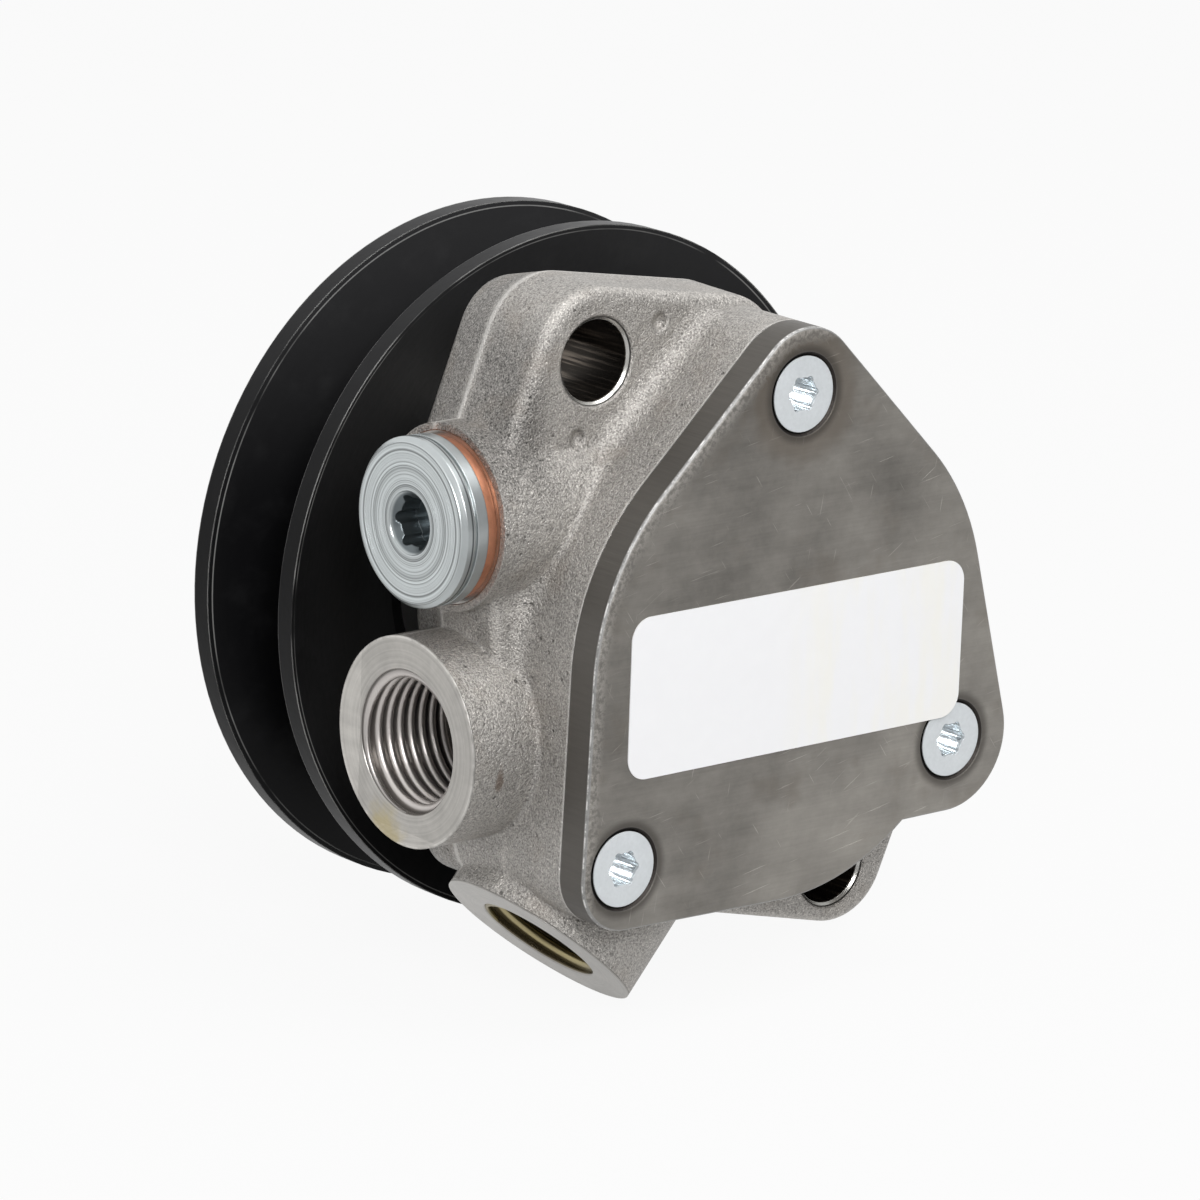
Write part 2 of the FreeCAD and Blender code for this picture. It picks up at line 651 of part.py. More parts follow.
def housing_tools():
    """everything that is machined out of the casting"""
    tools = []
    pocket = "outer_rotor_radius + running_clearance"
    floor = "-(joint_depth - rotor_depth)"
    x, z = ECCENTRIC
    tools.append(cylinder("rotor_pocket", pocket, "rotor_depth", x, floor, z, TO_COVER))
    inside = pocket + " + seal_gap"
    outside = inside + " + cord_radius * cord_room"
    tools.append(ring("seal_groove", outside, inside, "groove_depth",
                      "-(joint_depth - groove_depth)", TO_COVER, x, z))
    for name, middle in (("inlet_kidney", "eccentric_angle + 90"),
                         ("outlet_kidney", "eccentric_angle - 90")):
        body = DOC.addObject("PartDesign::Body", name + "_core")
        tools.append(kidney(body, name, middle))
    tools.append(cylinder("bush_bore", "bush_radius", "joint_depth - rotor_depth",
                          "0", "0", "0", TO_COVER))
    tools.append(cylinder("seal_bore", "seal_radius", "seal_depth + seal_width + bearing_seat",
                          "0", "bearing_seat", "0", TO_COVER))
    tools.append(cylinder("bearing_bore", "bearing_radius", "nose_length - bearing_seat",
                          "0", "nose_length", "0", TO_COVER))
    tools.append(cylinder("circlip_groove", "bearing_radius + circlip_height",
                          "circlip_width + running_clearance", "0",
                          "bearing_width + bearing_seat", "0", TO_PULLEY))
    for i, (x, z) in enumerate(SCREWS):
        tools.append(cylinder("screw_hole%d" % i, "screw_hole", "screw_hole_depth", x,
                              "screw_hole_depth - joint_depth", z, TO_COVER))
    for i, (x, z) in enumerate((LUG, FAR_LUG)):
        tools.append(cylinder("lug_hole%d" % i, "lug_hole", "web_depth + lug_hole", x,
                              "lug_hole / 2", z, TO_COVER))
        tools.append(cone("lug_chamfer%d" % i, "lug_hole + lug_chamfer", "lug_hole",
                          "lug_chamfer", x, "-web_depth", z, TO_PULLEY))
    rise = "-(web_depth + dimple_radius - dimple_depth)"
    for name in ("near_dimple", "low_dimple"):
        across, up = polar(name + "_circle", name + "_angle")
        ball = DOC.addObject("Part::Sphere", name)
        bind(ball, Radius="dimple_radius")
        tools.append(place(ball, "%s + %s" % (LUG[0], across), rise,
                           "%s + %s" % (LUG[1], up)))
    y, z = "-port_depth", "port_height"
    tools += drilled("inlet_thread", "port_thread", "port_face",
                     "(port_face - port_thread_depth)", y, z, "port_chamfer")
    tools += drilled("inlet_drill", "port_drill", "port_face", "port_reach", y, z)
    tools.append(cylinder("inlet_passage", "inlet_rise", "kidney_depth + inlet_rise_length",
                          "-inlet_rise_start",
                          floor + " + kidney_depth + inlet_rise_length - inlet_rise_overlap",
                          z, TO_COVER))
    tools.append(outlet_hole("outlet_thread", "outlet_thread", "outlet_face",
                             "(outlet_face - outlet_thread_depth)"))
    tools.append(outlet_hole("outlet_drill", "outlet_drill", "outlet_face", "outlet_reach"))
    chamfer = cone("outlet_mouth", "outlet_thread", "outlet_thread + outlet_chamfer",
                   "outlet_chamfer")
    tools.append(outlet_place(chamfer, "(outlet_face - outlet_chamfer)"))
    y, z = "-" + VALVE_DEPTH, "valve_height"
    tools += drilled("valve_thread", "valve_thread", "valve_seat_face",
                     "(valve_seat_face - valve_thread_depth)", y, z)
    tools += drilled("valve_bore", "valve_bore", "valve_seat_face", "valve_seat", y, z)
    tools += drilled("valve_drill", "valve_drill", "valve_seat", "(-valve_reach)", y, z)
    for name, across, up in (
            ("pressure_rise", "valve_reach - relief_drill", "valve_height - relief_drill * 1.5"),
            ("relief_rise", "-valve_seat - relief_drill - relief_drill_step",
             "valve_height - valve_bore + relief_drill / 2")):
        tools.append(cylinder(name, "relief_drill", "valve_floor", across, y, up, TO_COVER))
    return tools


def pump_housing():
    return cut("pump_housing", casting(), *housing_tools())


def cover_plate():
    body = DOC.addObject("PartDesign::Body", "cover_blank")
    sketch = face_sketch(body, "cover_outline", "joint_depth")
    round_outline(sketch, cover_circles("0"), SIDE)
    slab = pad(body, "cover_slab", sketch, "cover_thickness")
    front = "joint_depth + cover_thickness"
    fillet(body, "cover_roll", slab, lambda edge: flat_at(edge, front), "cover_edge")
    tools = []
    sink = "sink_radius - screw_hole"
    for i, (x, z) in enumerate(SCREWS):
        tools.append(cylinder("cover_hole%d" % i, "screw_hole", "cover_thickness", x,
                              "-joint_depth", z, TO_COVER))
        tools.append(cone("cover_sink%d" % i, "screw_hole", "sink_radius", sink, x,
                          "-(joint_depth + cover_thickness - (%s))" % sink, z, TO_COVER))
    return cut("cover_plate", body, *tools)


def cover_screws():
    """three countersunk screws with a six lobe recess"""
    screws = []
    face = "-(joint_depth + cover_thickness - head_sink)"
    drop = "head_radius - screw_radius"
    for i, (x, z) in enumerate(SCREWS):
        name = "cover_screw%d" % i
        land = cylinder(name + "_land", "head_radius", "head_land", x, face, z, TO_PULLEY)
        head = cone(name + "_head", "head_radius", "screw_radius", drop, x,
                    face + " + head_land", z, TO_PULLEY)
        shank = cylinder(name + "_shank", "screw_radius", "screw_length", x, face, z, TO_PULLEY)
        recess = lobed_recess(name + "_recess", "lobe_drive", "lobe_drive_depth", x,
                              face + " + lobe_drive_depth", z, TO_COVER)
        screws.append(cut(name, fuse(name + "_whole", land, head, shank), recess))
    return group("cover_screws", screws)


def cover_seal():
    """round cord in its groove about the rotor pocket"""
    seal = DOC.addObject("Part::Torus", "cover_seal")
    middle = "outer_rotor_radius + running_clearance + seal_gap + cord_radius * cord_room / 2"
    bind(seal, Radius1=middle, Radius2="cord_radius - cord_gap")
    x, z = ECCENTRIC
    return place(seal, x, "groove_depth / 2 - joint_depth", z, TO_COVER)


def blank_label():
    """bare adhesive label on the cover, its corners rounded"""
    slab = DOC.addObject("Part::Box", "label_slab")
    bind(slab, Length="label_width", Width="label_thickness", Height="label_height")
    place(slab, "label_x - label_width / 2",
          "-(joint_depth + cover_thickness + label_thickness)", "label_z - label_height / 2")
    DOC.recompute()
    label = DOC.addObject("Part::Fillet", "blank_label")
    label.Base = slab
    corners = [n for n, e in enumerate(slab.Shape.Edges, 1)
               if abs(e.Length - size("label_thickness")) < 1e-6]
    radius = size("label_corner")
    label.Edges = [(n, radius, radius) for n in corners]
    return label


def drive_shaft():
    """turned shaft: journal, shoulder for the bearing, pulley end"""
    inner = "-(joint_depth - end_clearance)"
    back = "bearing_seat - shoulder_width"
    bevel = "shaft_radius - shaft_chamfer"
    body = turned("shaft_blank", [
        ("0", inner), (bevel, inner), ("shaft_radius", inner + " + shaft_chamfer"),
        ("shaft_radius", back), ("shoulder_radius", back),
        ("shoulder_radius", "bearing_seat"), ("shaft_radius", "bearing_seat"),
        ("shaft_radius", "shaft_end - shaft_chamfer"), (bevel, "shaft_end"),
        ("0", "shaft_end")])
    slot = key_box("keyway", "0")
    centre = cone("centre_hole", "centre_tip", "shaft_radius / 3", "shaft_radius / 2", "0",
                  "shaft_end - shaft_radius / 2", "0", TO_PULLEY)
    return cut("drive_shaft", body, slot, centre)


def key_box(name, spare):
    """the key's room, or the key itself, half in the shaft and half in the rotor"""
    key = DOC.addObject("Part::Box", name)
    bind(key, Length="key_width", Width="key_length", Height="key_height - 2 * (%s)" % spare)
    return place(key, "-key_width / 2", "-(joint_depth - rotor_depth / 2 + key_length / 2)",
                 "shaft_radius - key_height / 2 + (%s)" % spare)


def rotor_key():
    return key_box("rotor_key", "running_clearance")


def rotor_height():
    return "rotor_depth - 2 * end_clearance"


def inner_rotor():
    """rotor inside the ring of round teeth, its flank the envelope of those teeth

    A tooth centre of the outer rotor, seen from the inner one, runs on the
    circle of centres with the eccentric wave laid over it. The flank lies one
    tooth radius and the running clearance inside that path.
    """
    teeth = int(size("outer_lobes"))
    circle, wave = size("lobe_circle"), size("eccentricity")
    inset = size("tooth_radius + running_clearance")
    tilt = math.radians(size("eccentric_angle"))
    per_tooth = 20
    count = per_tooth * (teeth - 1)
    points = []
    for i in range(count):
        turn = 2 * math.pi * i / count
        x = circle * math.cos(turn) + wave * math.cos(teeth * turn)
        z = circle * math.sin(turn) + wave * math.sin(teeth * turn)
        along_x = -circle * math.sin(turn) - wave * teeth * math.sin(teeth * turn)
        along_z = circle * math.cos(turn) + wave * teeth * math.cos(teeth * turn)
        scale = inset / math.hypot(along_x, along_z)
        x, z = x - along_z * scale, z + along_x * scale
        points.append(V(x * math.cos(tilt) - z * math.sin(tilt), 0,
                        x * math.sin(tilt) + z * math.cos(tilt)))
    flank = Part.BSplineCurve()
    flank.interpolate(points, PeriodicFlag=True)
    face = Part.Face(Part.Wire(flank.toShape()))
    blank = DOC.addObject("Part::Feature", "rotor_blank")
    height = size(rotor_height())
    blank.Shape = face.extrude(V(0, -height, 0))
    blank.Placement.Base = V(0, -size("joint_depth - rotor_depth + end_clearance"), 0)
    bore = cylinder("rotor_bore", "shaft_radius", "rotor_depth", "0",
                    "-(joint_depth - rotor_depth)", "0", TO_COVER)
    return cut("inner_rotor", blank, bore, key_box("rotor_keyway", "0"))


def outer_rotor():
    """ring whose round teeth mesh with the inner rotor, on the eccentric axis"""
    x, z = ECCENTRIC
    y = "-(joint_depth - rotor_depth + end_clearance)"
    disc = cylinder("outer_disc", "outer_rotor_radius", rotor_height(), x, y, z, TO_COVER)
    valley = "lobe_circle - tooth_radius + 2 * eccentricity + running_clearance"
    hollow = cylinder("outer_hollow", valley, rotor_height(), x, y, z, TO_COVER)
    teeth = []
    count = int(size("outer_lobes"))
    for i in range(count):
        dx, dz = polar("lobe_circle", "(eccentric_angle + %d * 360 / outer_lobes)" % i)
        teeth.append(cylinder("tooth%d" % i, "tooth_radius", rotor_height(),
                              "%s + %s" % (x, dx), y, "%s + %s" % (z, dz), TO_COVER))
    opening = cut("outer_opening", hollow, *teeth)
    return cut("outer_rotor", disc, opening)


def shaft_bush():
    """plain bush between the rotors and the shaft seal"""
    return ring("shaft_bush", "bush_radius", "shaft_radius + running_clearance",
                "joint_depth - rotor_depth - bush_gap - seal_depth - seal_width",
                "-(seal_depth + seal_width)", TO_COVER)


def shaft_seal():
    """lip seal: steel case, rubber lip and garter spring"""
    back = "-seal_depth"
    front = "-(seal_depth + seal_width)"
    wall = "seal_radius - seal_sheet"
    floor = back + " - seal_sheet"
    throat = "shaft_radius + case_throat"
    body = "shaft_radius + lip_body"
    end = front + " + lip_drop"
    fill = floor + " - lip_fill_width"
    case = turned("seal_case", [
        (wall, front), ("seal_radius", front), ("seal_radius", back), (throat, back),
        (throat, floor), (wall, floor)])
    lip = turned("seal_lip", [
        (throat, back), (body, back), ("shaft_radius + lip_bevel", floor + " - seal_sheet"),
        ("shaft_radius + lip_edge", front + " + lip_edge_height"),
        ("shaft_radius + lip_front", end), (body, end), (body, front + " + lip_body"),
        ("shaft_radius + lip_fill", fill), (wall, fill), (wall, floor), (throat, floor)])
    spring = DOC.addObject("Part::Torus", "seal_spring")
    bind(spring, Radius1="shaft_radius + garter_circle", Radius2="garter_wire")
    place(spring, "0", front + " + garter_drop", "0", TO_COVER)
    return [case, lip, spring]


def bearing():
    """deep groove ball bearing: two races, cage and balls"""
    start = "bearing_seat"
    end = "bearing_width + bearing_seat"
    middle = "bearing_width / 2 + bearing_seat"
    track = "ball_radius + running_clearance"
    races = []
    for name, outer, inner in (
            ("bearing_outer_race", "bearing_radius", "pitch_radius + race_height"),
            ("bearing_inner_race", "pitch_radius - race_height", "shaft_radius")):
        blank = ring(name + "_blank", outer, inner, "bearing_width", start, TO_PULLEY)
        groove = DOC.addObject("Part::Torus", name + "_groove")
        bind(groove, Radius1="pitch_radius", Radius2=track)
        place(groove, "0", middle, "0", TO_COVER)
        races.append(cut(name, blank, groove))
    balls = []
    pockets = []
    for i in range(int(size("ball_count"))):
        x, z = polar("pitch_radius", "(%d * 360 / ball_count)" % i)
        ball = DOC.addObject("Part::Sphere", "ball%d" % i)
        bind(ball, Radius="ball_radius")
        balls.append(place(ball, x, middle, z))
        outwards = FreeCAD.Rotation(V(0, 0, 1), V(size(x), 0, size(z)))
        x, z = polar("(pitch_radius - cage_pocket / 2)", "(%d * 360 / ball_count)" % i)
        pockets.append(cylinder("pocket%d" % i, track, "cage_pocket", x, middle, z, outwards))
    cage = ring("cage_blank", "pitch_radius + cage_half", "pitch_radius - cage_half",
                "2 * (ball_radius + cage_rim)", middle + " - ball_radius - cage_rim", TO_PULLEY)
    return races + [cut("bearing_cage", cage, *pockets), group("bearing_balls", balls)]


def circlip():
    """snap ring that keeps the bearing in its bore, with two eyes for the pliers"""
    y = "bearing_width + bearing_seat"
    blank = ring("circlip_blank", "bearing_radius + circlip_height - running_clearance",
                 "bearing_radius - circlip_band", "circlip_width", y, TO_PULLEY)
    gap = DOC.addObject("Part::Wedge", "circlip_opening")
    reach = "bearing_radius * 1.2"
    half = reach + " * tan(circlip_gap * 0.5deg)"
    bind(gap, Xmin="-(%s)" % half, Xmax=half, X2min="-centre_tip", X2max="centre_tip", Ymin="0",
         Ymax=reach, Zmin="0", Z2min="0", Zmax="circlip_width", Z2max="circlip_width")
    gap.Placement = FreeCAD.Placement(V(0, 0, 0), FreeCAD.Rotation(V(1, 0, 0), -90))
    bind(gap, Placement__Base__y=y, Placement__Base__z=reach)
    eyes = []
    holes = []
    for i, turn in enumerate(("90 + circlip_gap * eye_share", "90 - circlip_gap * eye_share")):
        x, z = polar("(bearing_radius - eye_reach)", "(%s)" % turn)
        eyes.append(cylinder("eye%d" % i, "eye_radius", "circlip_width", x, y, z, TO_PULLEY))
        holes.append(cylinder("eye_hole%d" % i, "eye_hole", "circlip_width", x, y, z, TO_PULLEY))
    open_ring = cut("circlip_ring", blank, gap)
    return cut("bearing_circlip", fuse("circlip_whole", open_ring, *eyes), *holes)


HALF_GROOVE = "(pulley_radius - pulley_foot) * tan(groove_angle * 0.5deg)"
GROOVE_MIDDLE = "pulley_start + sheet / cos(groove_angle * 0.5deg) + " + HALF_GROOVE


def pulley_half(name, side):
    """pressed half: web, cone and turned rim; side is -1 near the pump, 1 away"""
    sign = "+" if side > 0 else "-"
    skin = "sheet / cos(groove_angle * 0.5deg)"
    corner = "sheet * tan(groove_angle * 0.25deg)"

    def away(distance):
        return "%s %s (%s)" % (GROOVE_MIDDLE, sign, distance)

    body = turned(name + "_blank", [
        ("hub_spigot + running_clearance", away("0")), ("pulley_foot", away("0")),
        ("pulley_radius", away(HALF_GROOVE)),
        ("pulley_radius", away("%s + %s" % (HALF_GROOVE, skin))),
        ("pulley_foot - %s" % corner, away("sheet")),
        ("hub_spigot + running_clearance", away("sheet"))])
    holes = []
    for i in range(int(size("pulley_screw_count"))):
        x, z = polar("pulley_screw_circle", "(45 + %d * 360 / pulley_screw_count)" % i)
        start = GROOVE_MIDDLE if side > 0 else GROOVE_MIDDLE + " - sheet"
        holes.append(cylinder("%s_hole%d" % (name, i), "pulley_screw_radius + pulley_hole_gap", "sheet",
                              x, start, z, TO_PULLEY))
    return cut(name, body, *holes)


def pulley_hub():
    """hub pressed on the shaft: collar, flange with tapped holes, spigot"""
    face = GROOVE_MIDDLE + " - sheet"
    start = "nose_length + hub_gap"
    body = turned("hub_blank", [
        ("shaft_radius", "bearing_width + bearing_seat"),
        ("hub_collar", "bearing_width + bearing_seat"), ("hub_collar", start),
        ("hub_radius", start), ("hub_radius", face), ("hub_spigot", face),
        ("hub_spigot", face + " + spigot_length"), ("shaft_radius", face + " + spigot_length")])
    holes = []
    for i in range(int(size("pulley_screw_count"))):
        x, z = polar("pulley_screw_circle", "(45 + %d * 360 / pulley_screw_count)" % i)
        holes.append(cylinder("hub_hole%d" % i, "pulley_screw_radius + hub_hole_gap",
                              "%s - (%s)" % (face, start), x, start, z, TO_PULLEY))
    return cut("pulley_hub", body, *holes)


def pulley_fasteners():
    """hexagon screws and washers that clamp the two halves on the hub"""
    screws = []
    washers = []
    seat = GROOVE_MIDDLE + " + sheet"
    for i in range(int(size("pulley_screw_count"))):
        x, z = polar("pulley_screw_circle", "(45 + %d * 360 / pulley_screw_count)" % i)
        head = DOC.addObject("Part::Prism", "pulley_head%d" % i)
        head.Polygon = 6
        bind(head, Circumradius="pulley_head_size", Height="pulley_head_height")
        place(head, x, seat + " + washer_thickness", z, TO_PULLEY)
        start = "nose_length + hub_gap"
        shank = cylinder("pulley_shank%d" % i, "pulley_screw_radius",
                         "%s + washer_thickness - (%s)" % (seat, start), x, start, z, TO_PULLEY)
        screws.append(fuse("pulley_screw%d" % i, head, shank))
        washers.append(ring("pulley_washer%d" % i, "washer_radius", "pulley_screw_radius + washer_gap",
                            "washer_thickness", seat, TO_PULLEY, x, z))
    return [group("pulley_screws", screws), group("pulley_washers", washers)]


def relief_plug():
    """screw plug with a turned collar, a spring bore and a six lobe recess"""
    y, z = "-" + VALVE_DEPTH, "valve_height"
    under = "valve_seat_face + copper_thickness"
    face = "%s + plug_collar_width" % under
    collar = cylinder("plug_collar", "plug_collar", "plug_collar_width - plug_chamfer",
                      "-(%s)" % under, y, z, TO_LEFT)
    bevel = cone("plug_bevel", "plug_collar", "plug_collar - plug_chamfer", "plug_chamfer",
                 "-(%s - plug_chamfer)" % face, y, z, TO_LEFT)
    right = FreeCAD.Rotation(V(0, 1, 0), 90)
    shank = cylinder("plug_shank", "valve_thread - running_clearance",
                     "plug_shank + copper_thickness", "-(%s)" % under, y, z, right)
    bore = cylinder("plug_bore", "plug_bore", "plug_bore_depth",
                    "-(valve_seat_face - plug_shank)", y, z, TO_LEFT)
    groove = ring("plug_groove", "plug_collar + plug_groove", "plug_collar - plug_groove",
                  "plug_groove", y, TO_LEFT, "-(%s + plug_groove_place)" % under, z)
    recess = lobed_recess("plug_recess", "plug_drive", "plug_drive_depth",
                          "-(%s - plug_drive_depth)" % face, y, z, TO_LEFT)
    mouth = cone("plug_mouth", "plug_drive - plug_drive_chamfer",
                 "plug_drive + plug_drive_chamfer", "2 * plug_drive_chamfer",
                 "-(%s - 2 * plug_drive_chamfer)" % face, y, z, TO_LEFT)
    return cut("relief_plug", fuse("plug_whole", collar, bevel, shank), bore, groove, recess,
               mouth)


def plug_washer():
    return ring("plug_washer", "washer_outer", "washer_inner", "copper_thickness",
                "-" + VALVE_DEPTH, TO_LEFT, "-valve_seat_face", "valve_height")


def relief_piston():
    """cup piston whose nose closes the pressure passage"""
    y, z = "-" + VALVE_DEPTH, "valve_height"
    radius = "valve_bore - piston_clearance"
    shut = "-(valve_seat + piston_clearance"
    barrel = cylinder("piston_barrel", radius, "piston_length - piston_nose",
                      shut + " + piston_nose)", y, z, TO_LEFT)
    nose = cone("piston_nose_cone", radius + " - piston_nose", radius, "piston_nose",
                shut + ")", y, z, TO_LEFT)
    hollow = cylinder("piston_hollow", radius + " - piston_wall", "piston_length - piston_floor",
                      shut + " + piston_floor)", y, z, TO_LEFT)
    return cut("relief_piston", fuse("piston_whole", barrel, nose), hollow)


def relief_spring():
    """coil spring between the piston's floor and the plug's floor"""
    start = "valve_seat + piston_clearance + piston_floor + spring_wire + spring_gap"
    end = "valve_seat_face - plug_shank + plug_bore_depth - spring_wire - spring_gap"
    height = "%s - (%s)" % (end, start)
    coil = DOC.addObject("Part::Helix", "spring_path")
    bind(coil, Radius="spring_radius", Height=height, Pitch="(%s) / spring_turns" % height)
    wire = DOC.addObject("Part::Circle", "spring_section")
    bind(wire, Radius="spring_wire")
    wire.Placement = FreeCAD.Placement(V(0, 0, 0), FreeCAD.Rotation(V(1, 0, 0), 90))
    bind(wire, Placement__Base__x="spring_radius")
    DOC.recompute()
    spring = DOC.addObject("Part::Sweep", "relief_spring")
    spring.Sections = [wire]
    spring.Spine = (coil, ["Edge%d" % (n + 1) for n in range(len(coil.Shape.Edges))])
    spring.Solid = True
    spring.Frenet = True
    return place(spring, "-(%s)" % start, "-" + VALVE_DEPTH, "valve_height", TO_LEFT)


def named(name, item):
    """give a piece the label of its node"""
    item.Label = name
    return item


def build():
    """all pieces of the pump by node name"""
    parts = {}

    def keep(*items):
        for item in items:
            parts[item.Name] = named(item.Name, item)

    keep(pump_housing(), cover_plate(), cover_screws(), cover_seal(), blank_label())
    keep(drive_shaft(), rotor_key(), inner_rotor(), outer_rotor(), shaft_bush())
    keep(*shaft_seal())
    keep(*bearing())
    keep(circlip(), pulley_hub())
    keep(pulley_half("pulley_near_half", -1), pulley_half("pulley_far_half", 1))
    keep(*pulley_fasteners())
    keep(relief_plug(), plug_washer(), relief_piston(), relief_spring())
    DOC.recompute()
    return parts


def check(parts):
    """stop where an object failed or a piece is empty or broken"""
    for item in DOC.Objects:
        if "Invalid" in item.State or "Error" in item.State:
            raise SystemExit("object %s failed: %s" % (item.Name, item.State))
    for name, item in parts.items():
        if item.Shape.isNull() or not item.Shape.isValid():
            raise SystemExit("piece %s has no valid shape" % name)


def export(parts):
    os.makedirs("parts", exist_ok=True)
    for name, item in parts.items():
        item.Shape.exportStep("parts/%s.step" % name)
        print("%-20s solids %d volume %.1f" % (name, len(item.Shape.Solids), item.Shape.Volume))


PARTS = build()
check(PARTS)
export(PARTS)
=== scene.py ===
"""Fuel feed pump: finishes, port threads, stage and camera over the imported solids.

Everything is in metres in the part's own frame: Y runs along the shaft with the cover
at negative Y, Z is up and X to the right as the cover is faced.  The finishes work in
millimetres, which they take from each piece's own Object coordinates.
"""

import math

import bmesh
import bpy
from bpy.props import FloatProperty, FloatVectorProperty, IntProperty, PointerProperty
from mathutils import Matrix, Vector


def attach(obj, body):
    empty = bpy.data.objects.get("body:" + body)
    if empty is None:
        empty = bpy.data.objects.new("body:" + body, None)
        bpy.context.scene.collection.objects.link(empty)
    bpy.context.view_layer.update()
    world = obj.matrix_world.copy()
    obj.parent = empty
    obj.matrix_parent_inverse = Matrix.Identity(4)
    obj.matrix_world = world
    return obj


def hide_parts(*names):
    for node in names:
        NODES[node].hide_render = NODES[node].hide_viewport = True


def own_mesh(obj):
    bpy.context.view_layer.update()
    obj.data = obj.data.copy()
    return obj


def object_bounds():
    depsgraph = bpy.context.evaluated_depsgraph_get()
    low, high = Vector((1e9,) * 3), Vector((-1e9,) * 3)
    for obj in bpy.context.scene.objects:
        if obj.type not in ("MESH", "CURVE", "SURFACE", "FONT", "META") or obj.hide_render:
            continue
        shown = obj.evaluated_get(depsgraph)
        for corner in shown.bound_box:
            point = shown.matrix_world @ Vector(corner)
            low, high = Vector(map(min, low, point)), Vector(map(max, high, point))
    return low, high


bl_info = {
    "name": "Fuel feed pump",
    "version": (1, 0, 0),
    "blender": (4, 5, 0),
    "location": "View3D > Sidebar > Pump",
    "description": "Finishes, port threads and studio of a belt driven fuel feed pump",
    "category": "Object",
}

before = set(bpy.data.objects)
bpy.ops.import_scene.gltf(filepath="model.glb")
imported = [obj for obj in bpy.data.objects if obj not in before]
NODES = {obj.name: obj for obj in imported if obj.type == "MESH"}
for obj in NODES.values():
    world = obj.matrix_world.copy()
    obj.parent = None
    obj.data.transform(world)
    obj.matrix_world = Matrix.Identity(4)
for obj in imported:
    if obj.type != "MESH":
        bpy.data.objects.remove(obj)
CAD_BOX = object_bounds()

MM = 0.001
SHAFT_PLACE = (0.0, 0.0)
SHAFT_WAY = (0.0, 1.0, 0.0)

# casting: places of its features, planes across the shaft, and radii, in millimetres
LUG_PLACE = (-18.784, 31.762)
FAR_LUG_PLACE = (18.784, -31.762)
LUG_BORE = 4.5
DIMPLE_PLACES = ((-10.01, 35.13), (-21.15, 23.50))
RUST_PLACE = (-33.533, -10.8)
OIL_PLACE = (-4.9, -21.0)
JOINT = -24.7
WEB_FACE = -15.7
PARTING = -6.4
INLET_PLACE = (-8.2, -9.9)
INLET_FACE = -37.8
INLET_START = -37.65
INLET_END = -14.25
INLET_RIM = 11.55
INLET_BORE = 8.0
INLET_CREST = 7.08
OUTLET_ANGLE = math.radians(49.0)
OUTLET_OFFSET = 6.05
OUTLET_DEPTH = -12.5
OUTLET_FACE = 40.1
OUTLET_START = 40.0
OUTLET_END = 12.25
OUTLET_BORE = 7.0
OUTLET_CREST = 6.08
VALVE_PLACE = (-8.6, 14.9)
VALVE_SEAT = -33.45
SEAT_RADIUS = 9.55
VALVE_FOOT = 6.9
PLUG_FACE = -38.4
PLUG_GROOVE = -37.2

# cover and pulley, in millimetres
COVER_FACE = -28.7
COVER_DISC = ((-0.1, -0.8), 28.4)
COVER_TOP = ((0.3, 28.4), 7.4)
SCREW_PLACES = ((-0.099, 28.400), (-23.445, -21.559), (24.369, -14.585))
SCREW_SINK = 4.9
RIM_LINE = 39.45

# stage: lamps in metres, the direction in which mirrors meet a white backdrop, and the floor
KEY_PLACE, KEY_SIZE = (-0.44, -0.74, 0.52), 0.4
FILL_PLACE, FILL_SIZE = (0.20, -0.45, 0.95), 0.7
BACKDROP_WAY = (-0.05, 0.80, 0.60)
FLOOR_GREY = 0.55
FLOOR_WHITE = 0.93

# colours of wear and stains, and of painted shade in recesses and painted highlights
WARM_SKIN = (0.30, 0.25, 0.20, 1.0)
RUST = (0.13, 0.075, 0.04, 1.0)
EDGE_HIGHLIGHT = (0.80, 0.78, 0.75, 1.0)
OIL = (0.46, 0.37, 0.14, 1.0)
LIP_HIGHLIGHT = (0.82, 0.80, 0.76, 1.0)
OUTLET_BORE_SHADE = (0.11, 0.085, 0.04, 1.0)
SHADED_BORE = (0.26, 0.24, 0.225, 1.0)
LUG_BORE_SHADE = (0.085, 0.072, 0.06, 1.0)
LUG_LIP = (0.62, 0.61, 0.58, 1.0)
COVER_BROWN = (0.155, 0.125, 0.095, 1.0)
COVER_SCREW_RING = (0.07, 0.062, 0.054, 1.0)
COVER_CHIPS = (0.50, 0.475, 0.44, 1.0)
COVER_BURR = (0.85, 0.84, 0.82, 1.0)
SINK_SHADE = (0.035, 0.03, 0.027, 1.0)
PLUG_RECESS_SHADE = (0.10, 0.12, 0.13, 1.0)
PLUG_SHADE = (0.05, 0.055, 0.06, 1.0)
TARNISH = (0.33, 0.13, 0.07, 1.0)
PAINT_DUST_AND_SHEEN = (0.06, 0.06, 0.062, 1.0)
WORN_RIM_AND_HIGHLIGHT = (0.40, 0.40, 0.39, 1.0)
YELLOWED = (0.83, 0.815, 0.74, 1.0)
WHITE = (1.0, 1.0, 1.0, 1.0)


